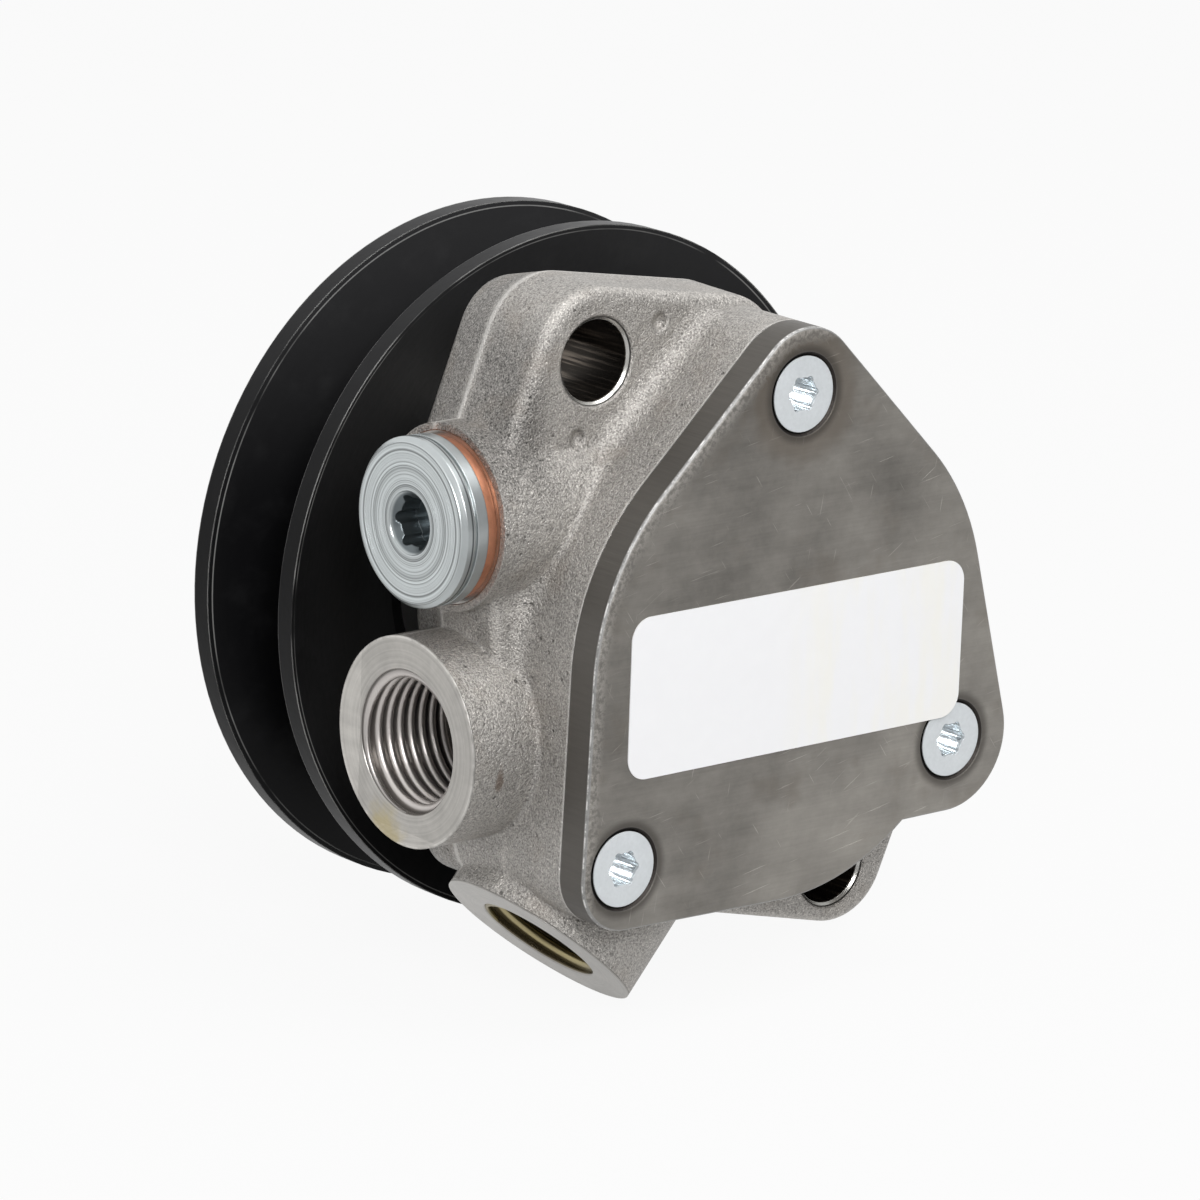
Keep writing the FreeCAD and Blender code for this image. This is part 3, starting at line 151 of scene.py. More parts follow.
class Link:
    """an output of a node; sums, differences, products and powers of it add Math nodes"""

    def __init__(self, graph, socket):
        self.graph = graph
        self.socket = socket

    def maths(self, operation, first, second):
        return self.graph.node("ShaderNodeMath", {"operation": operation}, {0: first, 1: second})

    def __add__(self, other):
        return self.maths("ADD", self, other)

    def __radd__(self, other):
        return self.maths("ADD", other, self)

    def __sub__(self, other):
        return self.maths("SUBTRACT", self, other)

    def __rsub__(self, other):
        return self.maths("SUBTRACT", other, self)

    def __mul__(self, other):
        return self.maths("MULTIPLY", self, other)

    def __pow__(self, other):
        return self.maths("POWER", self, other)

    def __abs__(self):
        return self.maths("ABSOLUTE", self, 0.0)

    def least(self, other):
        return self.maths("MINIMUM", self, other)

    def most(self, other):
        return self.maths("MAXIMUM", self, other)


class Graph:
    """a node tree that is filled from empty"""

    def __init__(self, tree):
        self.tree = tree
        tree.nodes.clear()

    def node(self, kind, settings, sockets, output=0):
        """add a node: its settings first, then the values or links of its sockets"""
        made = self.tree.nodes.new(kind)
        for name, value in settings.items():
            setattr(made, name, value)
        for key, value in sockets.items():
            socket = made.inputs[key]
            if isinstance(value, Link):
                self.tree.links.new(value.socket, socket)
            else:
                socket.default_value = value
        return Link(self, made.outputs[output]) if made.outputs else None

    def vector(self, operation, first, second=(0.0, 0.0, 0.0), scale=1.0, output=0):
        return self.node("ShaderNodeVectorMath", {"operation": operation},
                         {0: first, 1: second, 3: scale}, output)

    def step(self, value, low, high):
        """smooth step from 0 at low to 1 at high, which may be the smaller of the two"""
        return self.node("ShaderNodeMapRange", {"interpolation_type": "SMOOTHSTEP"},
                         {0: value, 1: low, 2: high})

    def within(self, value, limit, soft):
        """1 below a limit and 0 above it, softened by a width to both sides"""
        return self.step(value, limit + soft, limit - soft)

    def beyond(self, value, limit, soft):
        """0 below a limit and 1 above it, softened by a width to both sides"""
        return self.step(value, limit - soft, limit + soft)

    def least_of(self, values):
        """smallest of several values"""
        smallest = values[0]
        for value in values[1:]:
            smallest = smallest.least(value)
        return smallest

    def seen(self, backdrop):
        """1 for the rays that show the background, which mirrors meet on its own side"""
        camera, glossy, clear = [self.node("ShaderNodeLightPath", {}, {}, name) for name in (
            "Is Camera Ray", "Is Glossy Ray", "Is Transmission Ray")]
        return camera.most(glossy.most(clear) * backdrop)


class Finish(Graph):
    """the node tree of one material, with its coordinates in millimetres"""

    def __init__(self, name):
        self.material = bpy.data.materials.new(name)
        self.material.use_nodes = True
        super().__init__(self.material.node_tree)
        place = self.node("ShaderNodeTexCoord", {}, {}, "Object")
        self.at = self.vector("SCALE", place, scale=1 / MM)
        axes = [self.node("ShaderNodeSeparateXYZ", {}, {0: self.at}, n) for n in range(3)]
        self.x, self.y, self.z = axes

    def noise(self, grains, detail=2.0, rough=0.5, at=None, stretch=(1.0, 1.0, 1.0)):
        """soft random field about 0.5, with a number of grains to the millimetre"""
        at = self.vector("MULTIPLY", at or self.at, stretch)
        return self.node("ShaderNodeTexNoise", {},
                         {"Vector": at, "Scale": grains, "Detail": detail, "Roughness": rough})

    def rings(self, radius, grains, detail=2.0):
        """random rings along one length, such as a turned face's"""
        return self.node("ShaderNodeTexNoise", {"noise_dimensions": "1D"},
                         {"W": radius, "Scale": grains, "Detail": detail})

    def pits(self, size):
        """distance to scattered points, for pits and specks"""
        return self.node("ShaderNodeTexVoronoi", {},
                         {"Vector": self.at, "Scale": 1 / size, "Randomness": 1.0})

    def radius(self, first, second, centre):
        """distance from a line along one axis, given by the two other coordinates"""
        return ((first - centre[0]) ** 2.0 + (second - centre[1]) ** 2.0) ** 0.5

    def nearest(self, places):
        """distance from the nearest of several lines along the shaft"""
        return self.least_of([self.radius(self.x, self.z, place) for place in places])

    def mix(self, factor, first, second):
        """the first colour at 0, blended to the second at 1"""
        return self.node("ShaderNodeMix", {"data_type": "RGBA"},
                         {0: factor, 6: first, 7: second}, 2)

    def tint(self, colour, value):
        """colour made lighter or darker by a value about 1"""
        return self.node("ShaderNodeMix", {"data_type": "RGBA", "blend_type": "MULTIPLY"},
                         {0: 1.0, 6: colour, 7: value}, 2)

    def scratches(self, angle, across, along, level):
        """thin lines at an angle in a face across the shaft, 1 on a line and 0 off it"""
        turned = self.node("ShaderNodeVectorRotate", {"rotation_type": "AXIS_ANGLE"},
                           {0: self.at, "Axis": SHAFT_WAY, "Angle": math.radians(angle)})
        field = self.noise(1.0, 1.5, 0.5, turned, (along, 0.2, across))
        return self.step(field, level, level + 0.06)

    def bump(self, height, distance, normal=None):
        """raise a height of 1 by a distance in millimetres"""
        sockets = {"Height": height, "Distance": distance * MM}
        if normal is not None:
            sockets["Normal"] = normal
        return self.node("ShaderNodeBump", {}, sockets)

    def rounded(self, radius, samples=6):
        """sharp edges drawn with a small radius, in millimetres"""
        return self.node("ShaderNodeBevel", {"samples": samples}, {0: radius * MM})

    def inset(self, circle, angle):
        """distance inwards from a circle's tangent in the XZ plane, at an angle in degrees"""
        centre, radius = circle
        way = (math.cos(math.radians(angle)), 0.0, math.sin(math.radians(angle)))
        reach = way[0] * centre[0] + way[2] * centre[1] + radius
        return reach - self.vector("DOT_PRODUCT", self.at, way, output="Value")

    def edges(self, radius, gain):
        """0 on flat faces and up to 1 along edges, within a radius of them"""
        flat = self.node("ShaderNodeNewGeometry", {}, {}, "True Normal")
        same = self.vector("DOT_PRODUCT", self.rounded(radius), flat, output="Value")
        return ((1.0 - same) * gain).least(1.0)

    def shade(self, **sockets):
        """the shader; words in its sockets' names are joined by underscores"""
        named = {key.replace("_", " "): value for key, value in sockets.items()}
        surface = self.node("ShaderNodeBsdfPrincipled", {}, named)
        self.node("ShaderNodeOutputMaterial", {}, {0: surface})
        return self.material


def rgb(colour):
    return (colour[0], colour[1], colour[2], 1.0)


def dress(name, material):
    """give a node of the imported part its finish"""
    slots = NODES[name].data.materials
    slots.clear()
    slots.append(material)


def new_piece(name, mesh, material, body):
    """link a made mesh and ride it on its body"""
    item = bpy.data.objects.new(name, mesh)
    bpy.context.scene.collection.objects.link(item)
    mesh.materials.append(material)
    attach(item, body)
    return item


class PUMP_PG_colours(bpy.types.PropertyGroup):
    """colours of the finishes"""

    casting: FloatVectorProperty(
        name="Casting", description="Shot-blasted casting", subtype="COLOR",
        default=(0.465, 0.445, 0.42), min=0.0, max=1.0)
    machined: FloatVectorProperty(
        name="Machined", description="Machined faces and bores of the casting",
        subtype="COLOR", default=(0.44, 0.425, 0.40), min=0.0, max=1.0)
    cover: FloatVectorProperty(
        name="Cover", description="Ground face of the cover", subtype="COLOR",
        default=(0.262, 0.248, 0.226), min=0.0, max=1.0)
    cover_side: FloatVectorProperty(
        name="Cover side", description="Dark side of the cover", subtype="COLOR",
        default=(0.10, 0.092, 0.082), min=0.0, max=1.0)
    zinc: FloatVectorProperty(
        name="Zinc", description="Zinc plated screws", subtype="COLOR",
        default=(0.70, 0.735, 0.755), min=0.0, max=1.0)
    plug: FloatVectorProperty(
        name="Plug", description="Turned face of the screw plug", subtype="COLOR",
        default=(0.54, 0.575, 0.58), min=0.0, max=1.0)
    copper: FloatVectorProperty(
        name="Copper", description="Washer of the screw plug", subtype="COLOR",
        default=(0.70, 0.315, 0.19), min=0.0, max=1.0)
    paint: FloatVectorProperty(
        name="Paint", description="Black paint of the pulley", subtype="COLOR",
        default=(0.004, 0.004, 0.0045), min=0.0, max=1.0)
    label: FloatVectorProperty(
        name="Label", description="Bare label", subtype="COLOR",
        default=(0.82, 0.82, 0.832), min=0.0, max=1.0)


class PUMP_PG_threads(bpy.types.PropertyGroup):
    """the two threaded ports"""

    pitch: FloatProperty(
        name="Pitch", description="Rise of the threads in one turn", unit="LENGTH",
        default=0.0015, min=0.0005, max=0.003, precision=4)
    inlet_length: FloatProperty(
        name="Inlet length", description="Threaded length of the inlet", unit="LENGTH",
        default=0.012, min=0.003, max=0.0125, precision=4)
    outlet_length: FloatProperty(
        name="Outlet length", description="Threaded length of the outlet", unit="LENGTH",
        default=0.011, min=0.003, max=0.0115, precision=4)
    steps: IntProperty(
        name="Steps", description="Faces round one turn of a thread",
        default=72, min=24, max=180)


class PUMP_PG_stage(bpy.types.PropertyGroup):
    """camera, floor and light"""

    place: FloatVectorProperty(
        name="Place", description="Camera's place", subtype="TRANSLATION", unit="LENGTH",
        default=(-0.47698, -0.55492, 0.19478))
    turn: FloatVectorProperty(
        name="Turn", description="Camera's turn", subtype="EULER", unit="ROTATION",
        default=(math.radians(74.98566), math.radians(-1.91730), math.radians(-39.93985)))
    lens: FloatProperty(
        name="Lens", description="Focal length in millimetres", default=201.347,
        min=20.0, max=400.0)
    floor: FloatProperty(
        name="Floor", description="Side of the pale floor", unit="LENGTH",
        default=6.0, min=1.0, max=20.0)
    surround: FloatProperty(
        name="Surround", description="Strength of the even light from all round",
        default=0.36, min=0.0, max=2.0)
    key: FloatProperty(
        name="Key", description="Power of the lamp beside the camera", unit="POWER",
        default=6.2, min=0.0, max=50.0)
    fill: FloatProperty(
        name="Fill", description="Power of the large lamp above", unit="POWER",
        default=5.0, min=0.0, max=50.0)


def outlet_fields(finish):
    """length along the outlet axis and distance from it"""
    along = finish.x * -math.cos(OUTLET_ANGLE) - finish.z * math.sin(OUTLET_ANGLE)
    beside = finish.x * math.sin(OUTLET_ANGLE) - finish.z * math.cos(OUTLET_ANGLE)
    away = finish.radius(beside, finish.y, (OUTLET_OFFSET, OUTLET_DEPTH))
    return along, away


def casting_finish(colours):
    """shot-blasted casting with machined ports, seats, lug holes, rear and joint"""
    f = Finish("casting")
    from_inlet = f.radius(f.y, f.z, INLET_PLACE)
    from_valve = f.radius(f.y, f.z, VALVE_PLACE)
    along, from_outlet = outlet_fields(f)
    to_lug = f.nearest((LUG_PLACE, FAR_LUG_PLACE))
    to_dimple = f.nearest(DIMPLE_PLACES)
    from_shaft = f.radius(f.x, f.z, SHAFT_PLACE)

    # machined places: 1 there and 0 on the cast skin
    inlet_face = f.within(f.x, INLET_FACE + 0.15, 0.05)
    inlet_bore = f.within(from_inlet, INLET_BORE + 0.3, 0.05) * f.within(f.x, INLET_END, 0.25)
    outlet_face = f.beyond(along, OUTLET_FACE - 0.15, 0.05)
    outlet_bore = f.within(from_outlet, OUTLET_BORE + 0.2, 0.05)
    outlet_bore = outlet_bore * f.beyond(along, OUTLET_END, 0.25)
    seat = f.within(from_valve, SEAT_RADIUS, 0.05) * f.within(f.x, VALVE_SEAT, 0.05)
    lug_wall = f.within(to_lug, LUG_BORE + 0.075, 0.025)
    lug_mouth = f.within(to_lug, LUG_BORE + 0.425, 0.075) - lug_wall
    rear = f.beyond(f.y, -0.08, 0.04)
    joint = f.within(f.y, JOINT + 0.1, 0.05)
    brim = f.within(f.y, JOINT + 0.335, 0.085) - joint
    faces = inlet_face.most(outlet_face).most(seat).most(rear).most(joint)
    bores = inlet_bore.most(outlet_bore).most(lug_wall).most(lug_mouth)
    machined = faces.most(bores)
    cast = 1.0 - machined

    # cast skin: grain with light specks (painted glints), painted shade behind the parting line
    # and in the channel beside the dimples, and a painted highlight on the web's shoulder
    grain = f.noise(4.4, 2.0, 0.6)
    pebble = f.noise(1.5, 2.0, 0.5)
    swell = f.noise(0.22, 3.0, 0.5)
    blotch = f.noise(0.11, 4.0, 0.55)
    # light specks: painted glints, on grains that are also a little less rough
    spark = f.step(f.noise(5.0, 1.0, 0.5), 0.60, 0.74)
    hole = f.step(f.pits(1.1), 0.24, 0.12) * f.step(f.noise(0.30, 1.0), 0.60, 0.66)
    lightness = 0.88 + (grain - 0.5) * 1.95 + (pebble - 0.5) * 0.4 + (blotch - 0.5) * 0.35
    lightness = lightness + spark * 0.50 - hole * 0.35
    # painted shade: darker behind the parting line, on the wall that faces away from the light
    lightness = lightness - f.step(f.y, PARTING + 0.2, PARTING + 1.4) * 0.30
    # painted shade in the channel between the parting ridge and the lug
    channel = f.step(f.x, -24.0, -28.0) * f.step(f.z, 16.0, 22.0) * f.step(f.z, 41.0, 33.0)
    lightness = lightness - channel * f.step(f.y, PARTING - 0.3, PARTING - 1.6) * 0.34
    # painted highlight along the convex shoulder behind the web's front face
    shoulder = f.step(abs(f.y - WEB_FACE - 0.75), 0.72, 0.15) * cast
    shoulder = shoulder * f.step(from_valve, 10.6, 12.0) * f.step(from_inlet, 12.4, 13.8)
    lightness = lightness + shoulder * 0.21
    raw = f.tint(rgb(colours.casting), lightness)
    warm = f.step(f.noise(0.16, 3.0, 0.6), 0.50, 0.72)
    raw = f.mix(warm * 0.22, raw, WARM_SKIN)
    narrow = 3.0
    across, upwards = f.x * narrow + f.noise(0.8) * 2.6, f.z + f.noise(0.6) * 2.4
    stain = f.radius(across, upwards, (RUST_PLACE[0] * narrow, RUST_PLACE[1]))
    raw = f.mix(f.step(stain, 1.9, 0.6) * f.step(f.y, -16.0, -17.0) * 0.6, raw, RUST)
    # painted highlight: thin light lines along the joint's brim and along the parting ridge
    parting = f.step(abs(f.y - PARTING), 0.52, 0.12) * cast
    raw = f.mix((brim * 0.55).most(parting * 0.52), raw, EDGE_HIGHLIGHT)

    # machined faces and bores
    turned = f.rings(from_inlet, 3.0) * inlet_face + f.rings(from_outlet, 3.0) * outlet_face
    turned = turned + f.rings(from_shaft, 2.5) * rear
    patch = f.noise(0.35, 4.0, 0.65)
    cut = f.tint(rgb(colours.machined), 0.50 + turned * 0.40 + patch * 0.55)
    oil = f.radius(f.y, f.z, OIL_PLACE) + f.noise(0.6, 3.0) * 4.0
    cut = f.mix(f.step(oil, 6.2, 3.2) * inlet_face * 0.55, cut, OIL)
    # painted highlight: a broken light line on the inlet face's rim
    lip = f.beyond(from_inlet, INLET_RIM, 0.1) * inlet_face * f.step(patch, 0.40, 0.60)
    cut = f.mix(lip * 0.5, cut, LIP_HIGHLIGHT)
    # painted shade: dark brown on the outlet's bore wall
    outlet_bore_shade = f.within(from_outlet, OUTLET_BORE + 0.06, 0.04) * outlet_bore
    cut = f.mix(outlet_bore_shade * 0.85, cut, OUTLET_BORE_SHADE)
    shaded = f.within(from_inlet, INLET_BORE + 0.025, 0.075) * inlet_bore
    cut = f.mix(shaded * 0.75, cut, SHADED_BORE)
    # painted shade: the lug holes' bores near black, with lighter streaks along them
    streak = f.noise(1.0, 2.0, 0.5, stretch=(3.0, 0.12, 3.0))
    bore = f.tint(LUG_BORE_SHADE, 0.35 + f.step(streak, 0.45, 0.75) * 1.8)
    cut = f.mix(lug_wall, cut, bore)
    cut = f.mix(lug_mouth, cut, LUG_LIP)
    colour = f.mix(machined, raw, cut)

    # relief, with rounder edges on the free part of the skin and at the valve boss's feet
    height = cast * (grain * 0.20 + pebble * 0.15 + swell * 0.30 - hole * 0.25)
    height = height + parting * 0.12 + turned * 0.045 - f.step(to_dimple, 1.45, 0.25) * 0.55
    free = f.step(f.x, -33.2, -30.6) * f.step(f.y, -22.8, -20.8) * f.step(to_lug, 5.5, 7.5)
    free = free * f.step(to_dimple, 2.6, 4.4)
    feet = f.radius(f.y, abs(f.z - VALVE_PLACE[1]), (WEB_FACE, VALVE_FOOT))
    soft = 0.25 + free * cast * (1.10 + f.step(feet, 4.5, 1.5) * 2.2)
    normal = f.bump(height, 1.0, f.rounded(soft, 8))
    return f.shade(
        Base_Color=colour,
        Metallic=cast * 0.72 + machined * 0.90,
        Roughness=cast * 0.50 + machined * (0.27 + turned * 0.12) - spark * cast * 0.08,
        Normal=normal)


def cover_finish(colours):
    """ground face with a few scratches, a chipped left edge, a burr and a dark side"""
    f = Finish("ground_steel")
    front = f.within(f.y, COVER_FACE + 0.08, 0.04)
    side = f.beyond(f.y, COVER_FACE + 0.49, 0.09)
    edge = (1.0 - front) * (1.0 - side)
    scratch = f.scratches(10.0, 4.5, 0.16, 0.71)
    for line in ((33.0, 3.0, 0.14, 0.73), (-55.0, 3.6, 0.18, 0.72), (80.0, 3.0, 0.15, 0.73)):
        scratch = scratch.most(f.scratches(*line))
    grind = f.noise(1.0, 3.0, 0.6, stretch=(0.10, 1.0, 4.5))
    cloud = f.noise(0.075, 3.0, 0.5)
    haze = f.noise(0.25, 4.0, 0.6, stretch=(0.5, 1.0, 1.3))
    mottle = f.noise(1.1, 4.0, 0.65)
    to_screw = f.nearest(SCREW_PLACES)
    from_top_screw = f.radius(f.x, f.z, SCREW_PLACES[0])
    sink = f.within(to_screw, SCREW_SINK, 0.05)
    screw_ring = f.step(to_screw, 6.0, SCREW_SINK)
    lightness = 0.94 + (grind - 0.5) * 0.20 + (cloud - 0.5) * 1.25 + (haze - 0.5) * 0.60
    # painted light: the face lighter towards the lower right
    lightness = lightness + f.step(f.x - f.z * 0.7, -4.0, 28.0) * 0.22
    lightness = lightness + (mottle - 0.5) * 0.30 + scratch * 0.45
    face = f.tint(rgb(colours.cover), lightness)
    brown = f.step(from_top_screw + f.noise(0.3) * 3.0, 10.5, 7.5) * 0.5
    brown = brown.most(f.step(f.noise(0.13, 3.0, 0.6), 0.52, 0.75) * 0.3)
    face = f.mix(brown, face, COVER_BROWN)
    # darker ring round each screw
    face = f.mix(screw_ring * 0.7, face, COVER_SCREW_RING)
    # chipped left edge: round the top screw, then down the disc
    chips = f.noise(1.7, 3.0, 0.7)
    sides = [f.inset(COVER_TOP, angle) for angle in (90.0, 105.0, 120.0)]
    sides += [f.inset(COVER_DISC, angle) for angle in (133.2, 144.5, 155.8, 167.0, 178.3)]
    rough = f.step(f.least_of(sides) + (chips - 0.5) * 3.2, 2.1, 1.0) * front
    pale = f.tint(COVER_CHIPS, 0.42 + f.step(chips, 0.38, 0.66) * 0.58)
    face = f.mix(rough * 0.6, face, pale)
    sheared = f.step(abs(f.y - COVER_FACE - 0.33), 0.12, 0.04)
    # painted glints along the sheared burr
    edge_glint = f.step(f.noise(0.9, 3.0, 0.7), 0.42, 0.60) * sheared
    burr = f.tint(COVER_BURR, 0.22 + chips * 0.36 + edge_glint * 0.55)
    shear = f.noise(1.0, 2.0, 0.5, stretch=(2.2, 0.15, 2.2))
    dark = f.tint(rgb(colours.cover_side), 0.86 + shear * 0.30)
    colour = f.mix(side, f.mix(edge, face, burr), dark)
    # painted shade: the walls of the screw sinks near black
    colour = f.mix(sink * (1.0 - front), colour, SINK_SHADE)
    height = front * (grind * 0.012 - scratch * 0.015 + mottle * 0.014 + rough * chips * 0.07)
    height = height + edge * chips * 0.12 + side * shear * 0.03
    return f.shade(
        Base_Color=colour,
        Metallic=0.78 - side * 0.38,
        Roughness=0.40 + mottle * 0.14 - scratch * 0.08 + rough * 0.10,
        Normal=f.bump(height, 1.0, f.rounded(0.2)))


def zinc_finish(colours, name="zinc_steel", domed=False):
    """zinc plated screws, with a fine mottle; those in the cover have domed heads"""
    f = Finish(name)
    mottle = f.noise(2.2, 3.0, 0.6)
    cloud = f.noise(0.5, 2.0, 0.5)
    colour = f.tint(rgb(colours.zinc), 0.84 + mottle * 0.18 + cloud * 0.12)
    height = mottle * 0.02
    recess = 0.0
    if domed:
        to_middle = f.nearest(SCREW_PLACES)
        height = height - to_middle ** 2.0 * 0.016
        recess = f.step(to_middle, 3.3, 3.0) * f.step(f.y, COVER_FACE + 0.45, COVER_FACE + 0.6)
    return f.shade(
        Base_Color=colour,
        Metallic=0.45 + recess * 0.5,
        Roughness=0.34 + mottle * 0.14 - recess * 0.16,
        Normal=f.bump(height, 1.0, f.rounded(0.07)))


def plug_finish(colours):
    """zinc plated plug with concentric turning marks"""
    f = Finish("plug_zinc")
    away = f.radius(f.y, f.z, VALVE_PLACE)
    face = f.within(f.x, PLUG_FACE, 0.05)
    fine = f.rings(away, 4.2, 3.0)
    groove = f.step(abs(f.rings(away, 1.5, 1.0) - 0.5), 0.035, 0.008)
    broad = f.rings(away, 0.9, 1.0)
    arc = f.noise(0.35, 2.0)
    inside = f.step(away, 3.5, 3.2) * (1.0 - face)
    core = f.step(away, 5.6, 3.8) * f.step(f.rings(away, 2.6, 1.0), 0.42, 0.60)
    mark = 0.42 + fine * 1.10 + (broad - 0.5) * 0.14 + arc * 0.16 - core * 0.30
    mark = mark - groove * (0.20 + arc * 0.35)
    colour = f.tint(rgb(colours.plug), f.mix(face, 0.95 + f.noise(1.2) * 0.10, mark))
    # painted shade in the plug's socket recess
    colour = f.mix(inside * 0.85, colour, PLUG_RECESS_SHADE)
    band = f.step(abs(f.x - PLUG_GROOVE), 0.16, 0.06) * f.beyond(away, 8.7, 0.1)
    colour = f.mix(band * 0.8, colour, PLUG_SHADE)
    return f.shade(
        Base_Color=colour,
        Metallic=0.92,
        Roughness=0.24 + fine * 0.16,
        Normal=f.bump((fine * 0.05 - groove * 0.03) * face, 1.0, f.rounded(0.2)))


def copper_finish(colours):
    """copper washer, a little tarnished"""
    f = Finish("copper")
    mottle = f.noise(1.4, 3.0, 0.6)
    tarnish = f.step(f.noise(0.4, 2.0), 0.5, 0.75)
    colour = f.mix(tarnish * 0.30, f.tint(rgb(colours.copper), 0.85 + mottle * 0.3), TARNISH)
    return f.shade(Base_Color=colour, Metallic=0.9, Roughness=0.34 + mottle * 0.12,
                   Normal=f.bump(mottle, 0.03, f.rounded(0.3)))


def paint_finish(colours):
    """black paint over pressed steel with a little dust, a painted sheen lighter towards the top,
    and worn rims that also stand in for the rims' highlights
    """
    f = Finish("black_paint")
    away = f.radius(f.x, f.z, SHAFT_PLACE)
    peel = f.noise(0.9, 2.0, 0.5)
    dust = f.step(f.noise(0.18, 5.0, 0.65), 0.48, 0.8)
    draw = f.rings(away, 1.2, 2.0)
    # light broken lines on the rims: worn paint, and painted highlights along the rims' edges
    worn = f.step(f.edges(0.3, 4.0), 0.25, 0.8) * f.step(away, 39.0, 39.6)
    line = f.step(abs(away - RIM_LINE), 0.10, 0.02) * 0.5
    worn = worn.most(line) * f.step(f.noise(0.07, 3.0, 0.6), 0.32, 0.58)
    # painted sheen: lighter towards the top
    top_sheen = f.step(f.z, 6.0, 38.0) * 0.28
    colour = f.mix(dust * 0.07 + top_sheen, rgb(colours.paint), PAINT_DUST_AND_SHEEN)
    colour = f.mix(worn * 0.9, colour, WORN_RIM_AND_HIGHLIGHT)
    return f.shade(
        Base_Color=colour,
        Metallic=0.0,
        Roughness=0.30 + dust * 0.12 + draw * 0.05,
        Specular_IOR_Level=0.09,
        Normal=f.bump(peel * 0.02 + draw * 0.008, 1.0, f.rounded(0.2)))


def label_finish(colours):
    """bare white label, a little yellowed to the right"""
    f = Finish("label")
    smear = f.step(f.noise(0.16, 3.0, 0.6, stretch=(1.6, 1.0, 0.35)), 0.38, 0.62)
    smear = smear * f.step(f.x, -4.0, 6.0)
    crease = f.noise(0.35, 3.0, 0.5, stretch=(1.0, 1.0, 0.4))
    colour = f.mix(smear * 0.55, rgb(colours.label), YELLOWED)
    colour = f.tint(colour, 0.985 + f.noise(0.5, 3.0) * 0.03)
    return f.shade(Base_Color=colour, Metallic=0.0, Roughness=0.42 + crease * 0.1,
                   Normal=f.bump(crease, 0.03))


def steel_finish(name, colour, roughness):
    """turned steel with marks about the shaft"""
    f = Finish(name)
    away = f.radius(f.x, f.z, SHAFT_PLACE)
    marks = f.rings(away, 4.0, 2.0) * 0.5 + f.rings(f.y, 5.0, 2.0) * 0.5
    cloud = f.noise(0.35, 3.0, 0.5)
    return f.shade(
        Base_Color=f.tint(rgb(colour), 0.82 + marks * 0.22 + cloud * 0.16),
        Metallic=0.9,
        Roughness=roughness + marks * 0.12,
        Normal=f.bump(marks, 0.02, f.rounded(0.15)))


def grained_finish(name, colour, metallic, roughness, grains, depth):
    """plain stuff with a fine grain, such as rubber, bronze or sintered steel"""
    f = Finish(name)
    grain = f.noise(grains, 3.0, 0.6)
    cloud = f.noise(0.3, 3.0, 0.5)
    return f.shade(
        Base_Color=f.tint(rgb(colour), 0.78 + grain * 0.26 + cloud * 0.18),
        Metallic=metallic,
        Roughness=roughness + grain * 0.12,
        Normal=f.bump(grain, depth, f.rounded(0.15)))


def thread_mesh(name, bore, minor, length, pitch, steps, turn):
    """helical ridge on a bore's wall: root on the wall, crest at the minor radius.

    It starts at the local origin and runs along local +Z, which turn puts in place.
    At each end it rises from the wall over a third of a turn.
    """
    mesh = bmesh.new()
    root, crest = 0.47 * pitch, 0.17 * pitch
    turns = length / pitch
    count = int(round(turns * steps))
    rows = []
    for i in range(count + 1):
        share = i / count
        angle = 2 * math.pi * turns * share
        rise = length * share
        fade = min(1.0, min(share, 1 - share) * turns * 3.0)
        inner = bore + (minor - bore) * fade
        wall = bore + 0.00005
        points = ((wall, -root), (inner, -crest), (inner, crest), (wall, root))
        row = []
        for radius, shift in points:
            height = min(max(rise + shift, 0.0), length)
            spot = Vector((radius * math.cos(angle), radius * math.sin(angle), height))
            row.append(mesh.verts.new(turn @ spot))
        rows.append(row)
    for first, second in zip(rows, rows[1:]):
        for n in range(4):
            corner = (n + 1) % 4
            mesh.faces.new((first[n], first[corner], second[corner], second[n]))
    for row, flip in ((rows[0], False), (rows[-1], True)):
        mesh.faces.new(row[::-1] if flip else row)
    bmesh.ops.recalc_face_normals(mesh, faces=mesh.faces)
    data = bpy.data.meshes.new(name)
    mesh.to_mesh(data)
    mesh.free()
    data.polygons.foreach_set("use_smooth", [True] * len(data.polygons))
    return data


def thread_finish(name, colour, place):
    """cut thread, with painted shade: light crests, dark roots, and darker down the bore"""
    f = Finish(name)
    if place == "inlet":
        depth = f.x - INLET_FACE
        away = f.radius(f.y, f.z, INLET_PLACE)
        crest = f.step(away, INLET_BORE, INLET_CREST + 0.12)
    else:
        along, away = outlet_fields(f)
        depth = OUTLET_FACE - along
        crest = f.step(away, OUTLET_BORE, OUTLET_CREST + 0.12)
    # painted shade: darker down the bore, and lighter crests against dark roots
    deep_shade = f.step(depth, 2.0, 12.0)
    marks = f.noise(3.0, 3.0, 0.6)
    return f.shade(
        Base_Color=f.tint(rgb(colour), 0.50 + crest * 0.52 + marks * 0.10 - deep_shade * 0.25),
        Metallic=0.9,
        Roughness=0.32 + marks * 0.12,
        Normal=f.bump(marks, 0.004))


